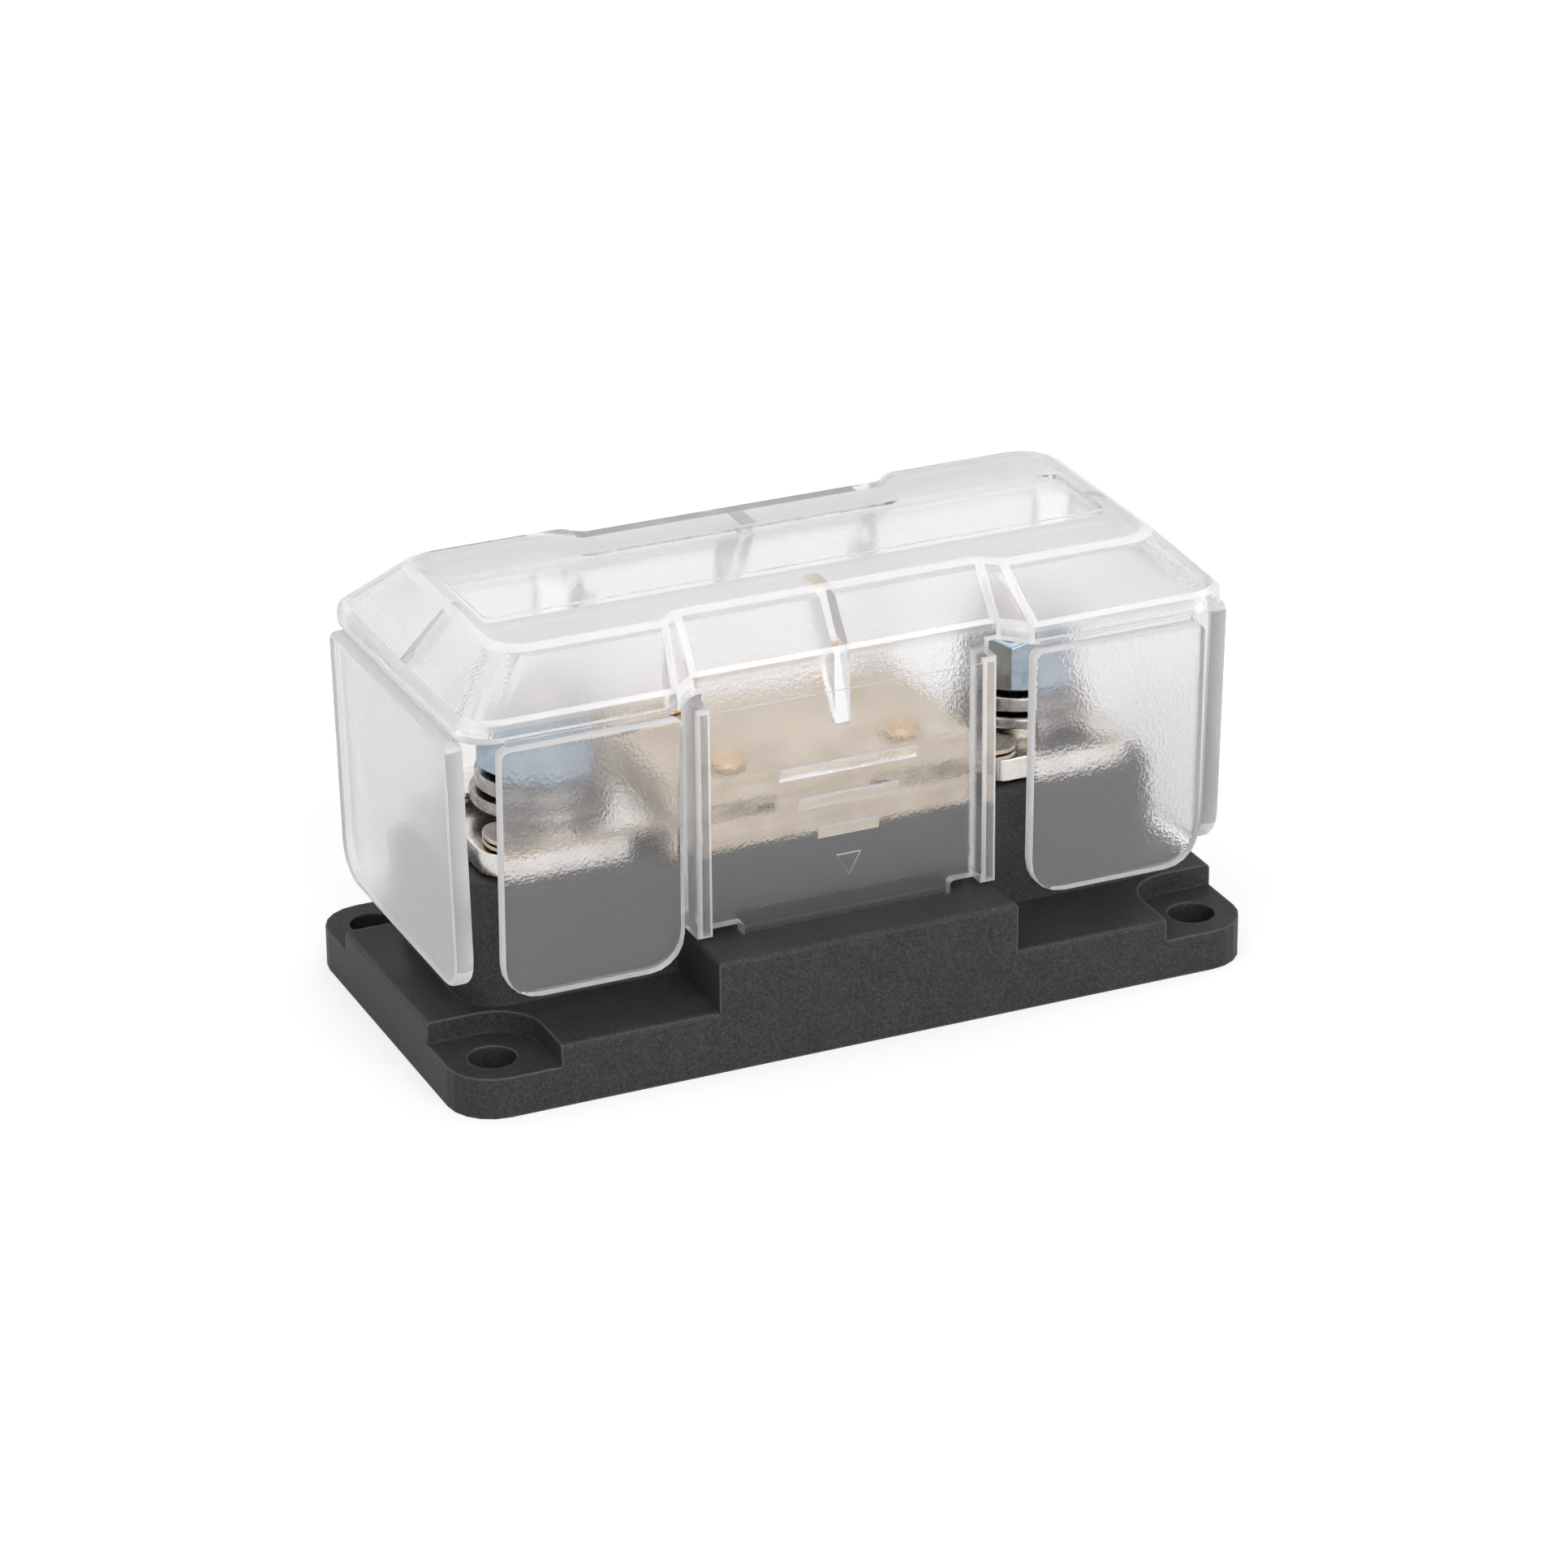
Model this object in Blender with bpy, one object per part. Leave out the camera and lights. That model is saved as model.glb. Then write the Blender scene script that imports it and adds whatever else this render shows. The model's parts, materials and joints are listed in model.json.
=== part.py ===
"""Screw-down holder for one bolted strip fuse, under a clear lift-off cover.

X runs along the holder, Y across it and Z up. The origin is the middle of the underside.
All sizes are in metres. The left end is at -X and the front is at -Y.
"""

import math

import bmesh
import bpy
from mathutils import Matrix, Vector

MM = 0.001

# Clearances
SEAT_GAP = 0.3 * MM
STUD_CLEARANCE = 0.3 * MM

# Moulded base
BASE_LENGTH = 100.0 * MM
BASE_WIDTH = 49.5 * MM
BASE_CORNER_RADIUS = 5.5 * MM
DECK_HEIGHT = 7.7 * MM
EAR_THICKNESS = 5.0 * MM
EAR_LENGTH = 11.8 * MM
EAR_DEPTH = 11.6 * MM
EAR_POCKET_RADIUS = 5.5 * MM
SCREW_HOLE_DIAMETER = 5.6 * MM
SCREW_INSET = 5.6 * MM
MOULDED_EDGE = 0.5 * MM

# Pedestal that carries the terminals
PEDESTAL_HEIGHT = 21.9 * MM
PEDESTAL_END_MARGIN = 5.6 * MM
PEDESTAL_FOOT_WIDTH = 25.8 * MM
PEDESTAL_CORNER_RADIUS = 5.0 * MM
PEDESTAL_END_DRAFT = 0.5 * MM
PEDESTAL_SIDE_DRAFT = 1.6 * MM
PEDESTAL_TOP_FILLET = 0.9 * MM
PEDESTAL_WEB = 3.0 * MM
FUSE_BED_MARGIN = 2.2 * MM
TROUGH_END_WALL = 5.4 * MM
TROUGH_SIDE_WALL = 4.6 * MM

# Latch blocks beside the pedestal
BLOCK_HEIGHT = 13.8 * MM
SLOT_FLOOR_HEIGHT = 9.2 * MM

# Terminals and their studs
STUD_INSET = 19.5 * MM
STUD_DIAMETER = 8.0 * MM
STUD_ABOVE_NUT = 3.4 * MM
STUD_TIP_CHAMFER = 0.9 * MM
HEX_ACROSS_FLATS = 13.0 * MM
BOLT_HEAD_HEIGHT = 5.3 * MM
PLATE_INNER_REACH = 8.0 * MM
PLATE_OUTER_REACH = 10.3 * MM
PLATE_WIDTH = 20.8 * MM
PLATE_THICKNESS = 2.9 * MM
PLATE_INNER_RADIUS = 2.0 * MM
PLATE_OUTER_RADIUS = 3.4 * MM
WASHER_DIAMETER = 16.0 * MM
WASHER_THICKNESS = 1.5 * MM
SPRING_WASHER_DIAMETER = 14.6 * MM
SPRING_WASHER_THICKNESS = 1.9 * MM
SPRING_WASHER_RISE = 0.3 * MM
SPRING_WASHER_SPLIT = math.radians(12.0)
NUT_HEIGHT = 6.5 * MM
NUT_CHAMFER = 0.6 * MM

# Strip fuse
FUSE_END_REACH = 9.5 * MM
FUSE_WIDTH = 22.0 * MM
FUSE_END_RADIUS = 3.2 * MM
FUSE_LAYER = 0.5 * MM
FUSE_SLOT_EXTRA_LENGTH = 0.9 * MM
FUSE_SLOT_MOUTH_RADIUS = 2.6 * MM
FUSE_NECK_SHARE = 0.32
FUSE_NECK_WIDTH = 7.0 * MM
FUSE_NECK_RADIUS = 1.5 * MM
BODY_END_CLEARANCE = 11.6 * MM
BODY_WIDTH = 22.2 * MM
TOP_BOARD_THICKNESS = 3.5 * MM
BOTTOM_BOARD_THICKNESS = 3.7 * MM
BOARD_CORNER_RADIUS = 0.6 * MM
RIVET_SPACING_SHARE = 0.58
RIVET_EDGE_DISTANCE = 2.5 * MM
RIVET_SPACING_Y = 16.5 * MM
RIVET_DIAMETER = 3.0 * MM
RIVET_HEAD_DIAMETER = 4.6 * MM
RIVET_HEAD_HEIGHT = 0.9 * MM
RIVET_CROWN_SHARE = 0.6
RIVET_RECESS = 0.9 * MM

# Clear cover
COVER_HEIGHT = 52.7 * MM
COVER_WALL = 2.0 * MM
COVER_END_MARGIN = 2.4 * MM
COVER_SIDE_MARGIN = 3.05 * MM
COVER_MIDDLE_WIDTH = 36.8 * MM
COVER_END_BAY_LENGTH = 28.8 * MM
COVER_CORNER_RADIUS = 4.2 * MM
COVER_JOG_RADIUS = 1.5 * MM
COVER_EDGE_FILLET = 0.55 * MM
ROOF_RISE = 6.3 * MM
BAND_HEIGHT = 2.0 * MM
ROOF_END_RUN = 6.5 * MM
ROOF_SIDE_RUN = 6.2 * MM
ROOF_MIDDLE_RUN = 4.9 * MM
ROOF_SLOPE = math.radians(45.0)
WINDOW_RECESS_MARGIN = 2.3 * MM
WINDOW_RECESS_WIDTH = 12.8 * MM
WINDOW_RECESS_DEPTH = 0.6 * MM
WINDOW_RECESS_RADIUS = 1.0 * MM

# Break-out flaps of the cover
FLAP_THICKNESS = 2.3 * MM
FLAP_PROUD = 1.1 * MM
FLAP_BREAK_HEIGHT = 0.7 * MM
FLAP_BOTTOM_ABOVE_DECK = 5.0 * MM
FLAP_DRAFT = math.radians(1.2)
FLAP_CORNER_RADIUS = 4.4 * MM
FLAP_TOP_RADIUS = 1.2 * MM
FLAP_EDGE_ROUND = 0.6 * MM
SIDE_FLAP_WIDTH = 22.0 * MM
SIDE_FLAP_END_MARGIN = 3.9 * MM
END_FLAP_WIDTH = 37.2 * MM
FLAP_WEB_THICKNESS = 0.9 * MM

# Middle panels of the cover
PANEL_STEP_BELOW_EAVE = 4.6 * MM
PANEL_STEP_PROUD = 0.25 * MM
PANEL_INNER_STEP = 0.1 * MM
PANEL_BOTTOM_ABOVE_BLOCK = 1.4 * MM
POST_THICKNESS = 1.9 * MM
POST_TOP_ABOVE_STEP = 0.7 * MM
POST_PROUD = 0.6 * MM
POST_INWARD_REACH = 3.7 * MM
POST_EDGE_ROUND = 0.5 * MM
TONGUE_END_MARGIN = 5.8 * MM
TONGUE_LENGTH = 5.6 * MM
TONGUE_CORNER_RADIUS = 1.0 * MM
GRIP_TOP_ABOVE_BLOCK = 19.5 * MM
GRIP_PITCH = 3.95 * MM
GRIP_HEIGHT = 1.4 * MM
GRIP_PROUD = 0.6 * MM
GRIP_WIDEST = 17.2 * MM
GRIP_NARROWING = 4.8 * MM
GRIP_COUNT = 3
ARROW_WIDTH = 3.0 * MM
ARROW_HEIGHT = 2.6 * MM
GUSSET_THICKNESS = 1.9 * MM
GUSSET_TIP_BELOW_EAVE = 9.9 * MM
GUSSET_TOP_REACH = 8.0 * MM
END_GUSSET_REACH = 2.6 * MM

# Roundness
NEARLY_FULL = 0.999
CORNER_STEPS = 5
ROUND_SEGMENTS = 36
SMALL_SEGMENTS = 20

# Heights and places that follow from the sizes above
STUD_X = BASE_LENGTH / 2 - STUD_INSET
STUD_RADIUS = STUD_DIAMETER / 2
BORE_RADIUS = STUD_RADIUS + STUD_CLEARANCE
SLOT_END_RADIUS = BORE_RADIUS * NEARLY_FULL
PLATE_BOTTOM = PEDESTAL_HEIGHT + SEAT_GAP
PLATE_TOP = PLATE_BOTTOM + PLATE_THICKNESS
TAB_BOTTOM = PLATE_TOP + SEAT_GAP
LINK_BOTTOM = TAB_BOTTOM + FUSE_LAYER + SEAT_GAP
LINK_TOP = LINK_BOTTOM + FUSE_LAYER
WASHER_BOTTOM = LINK_TOP + SEAT_GAP
SPRING_BOTTOM = WASHER_BOTTOM + WASHER_THICKNESS + SEAT_GAP
NUT_BOTTOM = SPRING_BOTTOM + SPRING_WASHER_THICKNESS + SPRING_WASHER_RISE + SEAT_GAP
NUT_TOP = NUT_BOTTOM + NUT_HEIGHT
STUD_TOP = NUT_TOP + STUD_ABOVE_NUT
BOARD_BOTTOM = TAB_BOTTOM - SEAT_GAP - BOTTOM_BOARD_THICKNESS
BOARD_TOP = LINK_TOP + SEAT_GAP + TOP_BOARD_THICKNESS
FUSE_BED_HEIGHT = BOARD_BOTTOM - SEAT_GAP
HEAD_TOP = PEDESTAL_HEIGHT - PEDESTAL_WEB - SEAT_GAP
HEAD_BOTTOM = HEAD_TOP - BOLT_HEAD_HEIGHT
FUSE_LENGTH = 2 * (STUD_X + FUSE_END_REACH)
BODY_LENGTH = 2 * (STUD_X - BODY_END_CLEARANCE)
FUSE_NECK_LENGTH = BODY_LENGTH * FUSE_NECK_SHARE
RIVET_SPACING_X = BODY_LENGTH * RIVET_SPACING_SHARE
FUSE_TAB_INNER_X = RIVET_SPACING_X / 2 - RIVET_EDGE_DISTANCE
COVER_LENGTH = BASE_LENGTH - 2 * COVER_END_MARGIN
COVER_MIDDLE_LENGTH = COVER_LENGTH - 2 * COVER_END_BAY_LENGTH
BLOCK_LENGTH = COVER_MIDDLE_LENGTH
TONGUE_WIDTH = BLOCK_LENGTH - 2 * TONGUE_END_MARGIN
COVER_END_WIDTH = BASE_WIDTH - 2 * COVER_SIDE_MARGIN
ROOF_LENGTH = COVER_LENGTH - 2 * ROOF_END_RUN
WINDOW_RECESS_LENGTH = ROOF_LENGTH - 2 * WINDOW_RECESS_MARGIN
EAVE_HEIGHT = COVER_HEIGHT - ROOF_RISE
BAND_BOTTOM_HEIGHT = EAVE_HEIGHT - BAND_HEIGHT
FLAP_TOP_HEIGHT = BAND_BOTTOM_HEIGHT - FLAP_BREAK_HEIGHT
FLAP_HEIGHT = FLAP_TOP_HEIGHT - DECK_HEIGHT - FLAP_BOTTOM_ABOVE_DECK
SIDE_FLAP_CENTRE_X = COVER_LENGTH / 2 - SIDE_FLAP_END_MARGIN - SIDE_FLAP_WIDTH / 2
PANEL_STEP_HEIGHT = EAVE_HEIGHT - PANEL_STEP_BELOW_EAVE
PANEL_BOTTOM_HEIGHT = BLOCK_HEIGHT + PANEL_BOTTOM_ABOVE_BLOCK
POST_TOP_HEIGHT = PANEL_STEP_HEIGHT + POST_TOP_ABOVE_STEP
GRIP_TOP_HEIGHT = BLOCK_HEIGHT + GRIP_TOP_ABOVE_BLOCK
GUSSET_TIP_HEIGHT = EAVE_HEIGHT - GUSSET_TIP_BELOW_EAVE
PANEL_OUTER_Y = COVER_MIDDLE_WIDTH / 2
PANEL_INNER_Y = PANEL_OUTER_Y - COVER_WALL
POST_BOTTOM = BLOCK_HEIGHT + SEAT_GAP

ALONG_X = "X"
ALONG_Y = "Y"
ALONG_Z = "Z"


def clear_scene():
    for item in list(bpy.data.objects):
        bpy.data.objects.remove(item, do_unlink=True)


def make_material(name, colour, roughness, metallic=0.0, alpha=1.0):
    material = bpy.data.materials.new(name)
    material.use_nodes = True
    shader = material.node_tree.nodes["Principled BSDF"]
    shader.inputs["Base Color"].default_value = (*colour, 1.0)
    shader.inputs["Roughness"].default_value = roughness
    shader.inputs["Metallic"].default_value = metallic
    shader.inputs["Alpha"].default_value = alpha
    return material


def add_object(name, mesh_data, material=None):
    """Turn a bmesh into a named object with its faces pointing out."""
    bmesh.ops.recalc_face_normals(mesh_data, faces=mesh_data.faces)
    mesh = bpy.data.meshes.new(name)
    mesh_data.to_mesh(mesh)
    mesh_data.free()
    item = bpy.data.objects.new(name, mesh)
    bpy.context.collection.objects.link(item)
    if material:
        mesh.materials.append(material)
    return item


def as_tool(item):
    """A tool shapes another object and isn't part of the model."""
    item.hide_render = True
    item.display_type = "WIRE"
    return item


def combine(body, tool, operation):
    modifier = body.modifiers.new(f"{operation.title()} {tool.name}", "BOOLEAN")
    modifier.operation = operation
    modifier.solver = "EXACT"
    modifier.object = as_tool(tool)


def cut(body, tool):
    combine(body, tool, "DIFFERENCE")


def join(body, tool):
    combine(body, tool, "UNION")


def smooth(item, angle=math.radians(35.0)):
    item.data.shade_smooth()
    item.data.set_sharp_from_angle(angle=angle)


def rounded(corners, steps=CORNER_STEPS):
    """Outline through (x, y, radius) corners, each with its own fillet."""
    outline = []
    count = len(corners)
    for index, (x, y, radius) in enumerate(corners):
        here = Vector((x, y))
        if radius == 0.0:
            outline.append(here)
            continue
        before = (Vector(corners[index - 1][:2]) - here).normalized()
        after = (Vector(corners[(index + 1) % count][:2]) - here).normalized()
        half_angle = before.angle(after) / 2
        reach = radius / math.tan(half_angle)
        centre = here + (before + after).normalized() * (radius / math.sin(half_angle))
        start = here + before * reach - centre
        end = here + after * reach - centre
        first = math.atan2(start.y, start.x)
        sweep = math.atan2(start.x * end.y - start.y * end.x, start.dot(end))
        for step in range(steps + 1):
            angle = first + sweep * step / steps
            outline.append(centre + radius * Vector((math.cos(angle), math.sin(angle))))
    return outline


def rectangle(half_x, half_y, radius=0.0):
    return rounded([
        (half_x, -half_y, radius),
        (half_x, half_y, radius),
        (-half_x, half_y, radius),
        (-half_x, -half_y, radius),
    ])


def circle(radius, segments=ROUND_SEGMENTS):
    angles = [math.tau * step / segments for step in range(segments)]
    return [Vector((radius * math.cos(angle), radius * math.sin(angle))) for angle in angles]


def hexagon(across_flats):
    """Hexagon with a pair of flats facing front and back."""
    radius = across_flats / math.sqrt(3.0)
    angles = [math.tau * step / 6 for step in range(6)]
    return [Vector((radius * math.cos(angle), radius * math.sin(angle))) for angle in angles]


def moved(outline, x, y):
    return [point + Vector((x, y)) for point in outline]


def loft(rings):
    """Closed body through rings of equal count, each a list of 3D points."""
    mesh_data = bmesh.new()
    loops = [[mesh_data.verts.new(point) for point in ring] for ring in rings]
    for lower, upper in zip(loops, loops[1:]):
        for index in range(len(lower)):
            follow = (index + 1) % len(lower)
            mesh_data.faces.new((lower[index], lower[follow], upper[follow], upper[index]))
    mesh_data.faces.new(list(reversed(loops[0])))
    mesh_data.faces.new(loops[-1])
    return mesh_data


def at_height(outline, height):
    return [Vector((point.x, point.y, height)) for point in outline]


def prism(outline, low, high, axis=ALONG_Z):
    """Outline extruded along an axis; along X it lies in YZ, along Y in XZ."""
    mesh_data = loft([at_height(outline, low), at_height(outline, high)])
    turns = {
        ALONG_X: Matrix(((0, 0, 1), (1, 0, 0), (0, 1, 0))),
        ALONG_Y: Matrix(((1, 0, 0), (0, 0, 1), (0, 1, 0))),
        ALONG_Z: Matrix.Identity(3),
    }
    bmesh.ops.transform(mesh_data, matrix=turns[axis].to_4x4(), verts=mesh_data.verts)
    return mesh_data


def turned(profile, segments=ROUND_SEGMENTS):
    """Solid turned about Z from (radius, height) points, both ends closed by a flat."""
    return loft([at_height(circle(radius, segments), height) for radius, height in profile])


def turned_ring(profile, segments=ROUND_SEGMENTS):
    """Ring turned about Z from a closed (radius, height) profile."""
    mesh_data = bmesh.new()
    loops = []
    for radius, height in profile:
        ring = at_height(circle(radius, segments), height)
        loops.append([mesh_data.verts.new(point) for point in ring])
    for lower, upper in zip(loops, loops[1:] + loops[:1]):
        for index in range(segments):
            follow = (index + 1) % segments
            mesh_data.faces.new((lower[index], lower[follow], upper[follow], upper[index]))
    return mesh_data


def soften(mesh_data, width, chooser, segments=2):
    """Round the edges that the chooser picks."""
    edges = [edge for edge in mesh_data.edges if chooser(edge)]
    bmesh.ops.bevel(
        mesh_data, geom=edges, offset=width, segments=segments, profile=0.5, affect="EDGES")
    return mesh_data


def on_top(height):
    """Chooser of the edges that lie at a height."""
    return lambda edge: all(abs(vert.co.z - height) < 1e-6 for vert in edge.verts)


def box(name, low, high):
    outline = [
        Vector((low[0], low[1])),
        Vector((high[0], low[1])),
        Vector((high[0], high[1])),
        Vector((low[0], high[1])),
    ]
    return add_object(name, prism(outline, low[2], high[2]))


# Base


def base_plate(material):
    outline = rectangle(BASE_LENGTH / 2, BASE_WIDTH / 2, BASE_CORNER_RADIUS)
    plate = prism(outline, 0.0, DECK_HEIGHT)
    soften(plate, MOULDED_EDGE, on_top(DECK_HEIGHT))
    return add_object("base", plate, material)


def cut_screw_ears(base):
    """Four lowered corner pockets, each round a screw hole."""
    wall_x = BASE_LENGTH / 2 - EAR_LENGTH
    wall_y = BASE_WIDTH / 2 - EAR_DEPTH
    beyond_x = BASE_LENGTH
    beyond_y = BASE_WIDTH
    for side_x in (-1, 1):
        for side_y in (-1, 1):
            outline = rounded([
                (side_x * wall_x, side_y * wall_y, EAR_POCKET_RADIUS),
                (side_x * beyond_x, side_y * wall_y, 0.0),
                (side_x * beyond_x, side_y * beyond_y, 0.0),
                (side_x * wall_x, side_y * beyond_y, 0.0),
            ])
            cut(base, add_object("ear_pocket", prism(outline, EAR_THICKNESS, COVER_HEIGHT)))
            hole = moved(
                circle(SCREW_HOLE_DIAMETER / 2),
                side_x * (BASE_LENGTH / 2 - SCREW_INSET),
                side_y * (BASE_WIDTH / 2 - SCREW_INSET))
            cut(base, add_object("screw_hole", prism(hole, -DECK_HEIGHT, COVER_HEIGHT)))


def pedestal_half_sizes():
    return BASE_LENGTH / 2 - PEDESTAL_END_MARGIN, PEDESTAL_FOOT_WIDTH / 2


def join_pedestal(base):
    """Tapered block with a rounded rim."""
    half_x, half_y = pedestal_half_sizes()
    fillet = PEDESTAL_TOP_FILLET
    levels = [(0.0, 0.0, EAR_THICKNESS / 2), (0.0, 0.0, DECK_HEIGHT)]
    for step in range(4):
        angle = math.radians(30.0 * step)
        inset = fillet * (1.0 - math.cos(angle))
        levels.append((1.0, inset, PEDESTAL_HEIGHT - fillet * (1.0 - math.sin(angle))))
    rings = []
    for drafted, inset, height in levels:
        top_x = half_x - PEDESTAL_END_DRAFT * drafted - inset
        top_y = half_y - PEDESTAL_SIDE_DRAFT * drafted - inset
        rings.append(at_height(rectangle(top_x, top_y, PEDESTAL_CORNER_RADIUS - inset), height))
    join(base, add_object("pedestal", loft(rings)))


def join_latch_blocks(base):
    """Raised blocks at the middle of the long sides, each with a slot for a cover tongue."""
    half_x = BLOCK_LENGTH / 2
    inner_y = PEDESTAL_FOOT_WIDTH / 2 - PEDESTAL_SIDE_DRAFT - COVER_WALL
    for side in (-1, 1):
        low_y, high_y = sorted((side * inner_y, side * BASE_WIDTH / 2))
        outline = [
            Vector((-half_x, low_y)),
            Vector((half_x, low_y)),
            Vector((half_x, high_y)),
            Vector((-half_x, high_y)),
        ]
        block = prism(outline, EAR_THICKNESS / 2, BLOCK_HEIGHT)
        soften(block, MOULDED_EDGE, on_top(BLOCK_HEIGHT))
        join(base, add_object("latch_block", block))


def cut_tongue_slots(base):
    half_x = TONGUE_WIDTH / 2 + SEAT_GAP
    near_y = PANEL_INNER_Y - SEAT_GAP
    far_y = PANEL_OUTER_Y + PANEL_STEP_PROUD + SEAT_GAP
    for side in (-1, 1):
        low_y, high_y = sorted((side * near_y, side * far_y))
        slot = box("tongue_slot", (-half_x, low_y, SLOT_FLOOR_HEIGHT), (half_x, high_y, COVER_HEIGHT))
        cut(base, slot)


def cut_fuse_bed(base):
    """Shallow step across the pedestal, so the lower board of the fuse has room."""
    half_x = BODY_LENGTH / 2 + FUSE_BED_MARGIN
    bed = box(
        "fuse_bed",
        (-half_x, -PEDESTAL_FOOT_WIDTH, FUSE_BED_HEIGHT),
        (half_x, PEDESTAL_FOOT_WIDTH, COVER_HEIGHT))
    cut(base, bed)


def cut_underside(base):
    """Trough under the pedestal, with a hexagon pocket and a bore for each stud."""
    foot_x, foot_y = pedestal_half_sizes()
    trough = rectangle(foot_x - TROUGH_END_WALL, foot_y - TROUGH_SIDE_WALL, COVER_WALL)
    cut(base, add_object("trough", prism(trough, -DECK_HEIGHT, HEAD_BOTTOM)))
    for side in (-1, 1):
        pocket = moved(hexagon(HEX_ACROSS_FLATS + 2 * SEAT_GAP), side * STUD_X, 0.0)
        cut(base, add_object("head_pocket", prism(pocket, 0.0, HEAD_TOP + SEAT_GAP)))
        bore = moved(circle(BORE_RADIUS), side * STUD_X, 0.0)
        cut(base, add_object("stud_bore", prism(bore, HEAD_BOTTOM, COVER_HEIGHT)))


def make_base(material):
    base = base_plate(material)
    join_latch_blocks(base)
    join_pedestal(base)
    cut_screw_ears(base)
    cut_tongue_slots(base)
    cut_fuse_bed(base)
    cut_underside(base)
    smooth(base)
    return base


# Terminals


def make_terminal_plate(name, side, material):
    inner_x = side * (STUD_X - PLATE_INNER_REACH)
    outer_x = side * (STUD_X + PLATE_OUTER_REACH)
    half_y = PLATE_WIDTH / 2
    outline = rounded([
        (inner_x, -half_y, PLATE_INNER_RADIUS),
        (outer_x, -half_y, PLATE_OUTER_RADIUS),
        (outer_x, half_y, PLATE_OUTER_RADIUS),
        (inner_x, half_y, PLATE_INNER_RADIUS),
    ])
    plate = add_object(name, prism(outline, PLATE_BOTTOM, PLATE_TOP), material)
    bore = moved(circle(BORE_RADIUS), side * STUD_X, 0.0)
    cut(plate, add_object("plate_bore", prism(bore, 0.0, COVER_HEIGHT)))
    smooth(plate)


def make_stud(name, side, material):
    """Hexagon-headed bolt, trapped head down in the base."""
    profile = [
        (STUD_RADIUS, HEAD_TOP - BOLT_HEAD_HEIGHT / 2),
        (STUD_RADIUS, STUD_TOP - STUD_TIP_CHAMFER),
        (STUD_RADIUS - STUD_TIP_CHAMFER, STUD_TOP),
    ]
    stud = add_object(name, turned(profile), material)
    join(stud, add_object("bolt_head", prism(hexagon(HEX_ACROSS_FLATS), HEAD_BOTTOM, HEAD_TOP)))
    stud.location.x = side * STUD_X
    stud.modifiers[0].object.location.x = side * STUD_X
    smooth(stud)


def make_flat_washer(name, side, material):
    top = WASHER_BOTTOM + WASHER_THICKNESS
    edge = WASHER_THICKNESS / 6
    outer = WASHER_DIAMETER / 2
    washer = turned_ring([
        (BORE_RADIUS, WASHER_BOTTOM),
        (outer - edge, WASHER_BOTTOM),
        (outer, WASHER_BOTTOM + edge),
        (outer, top - edge),
        (outer - edge, top),
        (BORE_RADIUS, top),
    ])
    item = add_object(name, washer, material)
    item.location.x = side * STUD_X
    smooth(item)


def make_spring_washer(name, side, material):
    """Split ring that climbs by its rise from one end of the split to the other."""
    mesh_data = bmesh.new()
    inner = BORE_RADIUS
    outer = SPRING_WASHER_DIAMETER / 2
    sweep = math.tau - SPRING_WASHER_SPLIT
    sections = []
    for step in range(ROUND_SEGMENTS + 1):
        share = step / ROUND_SEGMENTS
        angle = SPRING_WASHER_SPLIT / 2 + sweep * share
        low = SPRING_WASHER_RISE * share
        high = low + SPRING_WASHER_THICKNESS
        corners = ((inner, low), (outer, low), (outer, high), (inner, high))
        section = []
        for radius, height in corners:
            point = (radius * math.cos(angle), radius * math.sin(angle), height)
            section.append(mesh_data.verts.new(point))
        sections.append(section)
    for section, following in zip(sections, sections[1:]):
        for index in range(4):
            follow = (index + 1) % 4
            mesh_data.faces.new(
                (section[index], section[follow], following[follow], following[index]))
    mesh_data.faces.new(sections[0])
    mesh_data.faces.new(list(reversed(sections[-1])))
    item = add_object(name, mesh_data, material)
    item.location = (side * STUD_X, 0.0, SPRING_BOTTOM)
    smooth(item)


def make_nut(name, side, material):
    """Hexagon nut: a prism trimmed by a turned blank with coned ends."""
    nut = add_object(name, prism(hexagon(HEX_ACROSS_FLATS), 0.0, NUT_HEIGHT), material)
    across_corners = HEX_ACROSS_FLATS / math.cos(math.radians(30.0))
    face_radius = HEX_ACROSS_FLATS / 2 - NUT_CHAMFER / 4
    blank = add_object("nut_blank", turned([
        (face_radius, 0.0),
        (across_corners / 2, NUT_CHAMFER),
        (across_corners / 2, NUT_HEIGHT - NUT_CHAMFER),
        (face_radius, NUT_HEIGHT),
    ]))
    bore = add_object("nut_bore", prism(circle(BORE_RADIUS), -NUT_HEIGHT, 2 * NUT_HEIGHT))
    combine(nut, blank, "INTERSECT")
    cut(nut, bore)
    for item in (nut, blank, bore):
        item.location = (side * STUD_X, 0.0, NUT_BOTTOM)
    smooth(nut)


# Strip fuse


def left_end_corners():
    """Left end of the blade, with a slot open lengthwise, anticlockwise from the rear."""
    half_y = FUSE_WIDTH / 2
    end_x = -FUSE_LENGTH / 2
    slot_x = -STUD_X + BORE_RADIUS + FUSE_SLOT_EXTRA_LENGTH
    return [
        (end_x, half_y, FUSE_END_RADIUS),
        (end_x, BORE_RADIUS, FUSE_SLOT_MOUTH_RADIUS),
        (slot_x, BORE_RADIUS, SLOT_END_RADIUS),
        (slot_x, -BORE_RADIUS, SLOT_END_RADIUS),
        (end_x, -BORE_RADIUS, FUSE_SLOT_MOUTH_RADIUS),
        (end_x, -half_y, FUSE_END_RADIUS),
    ]


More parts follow.
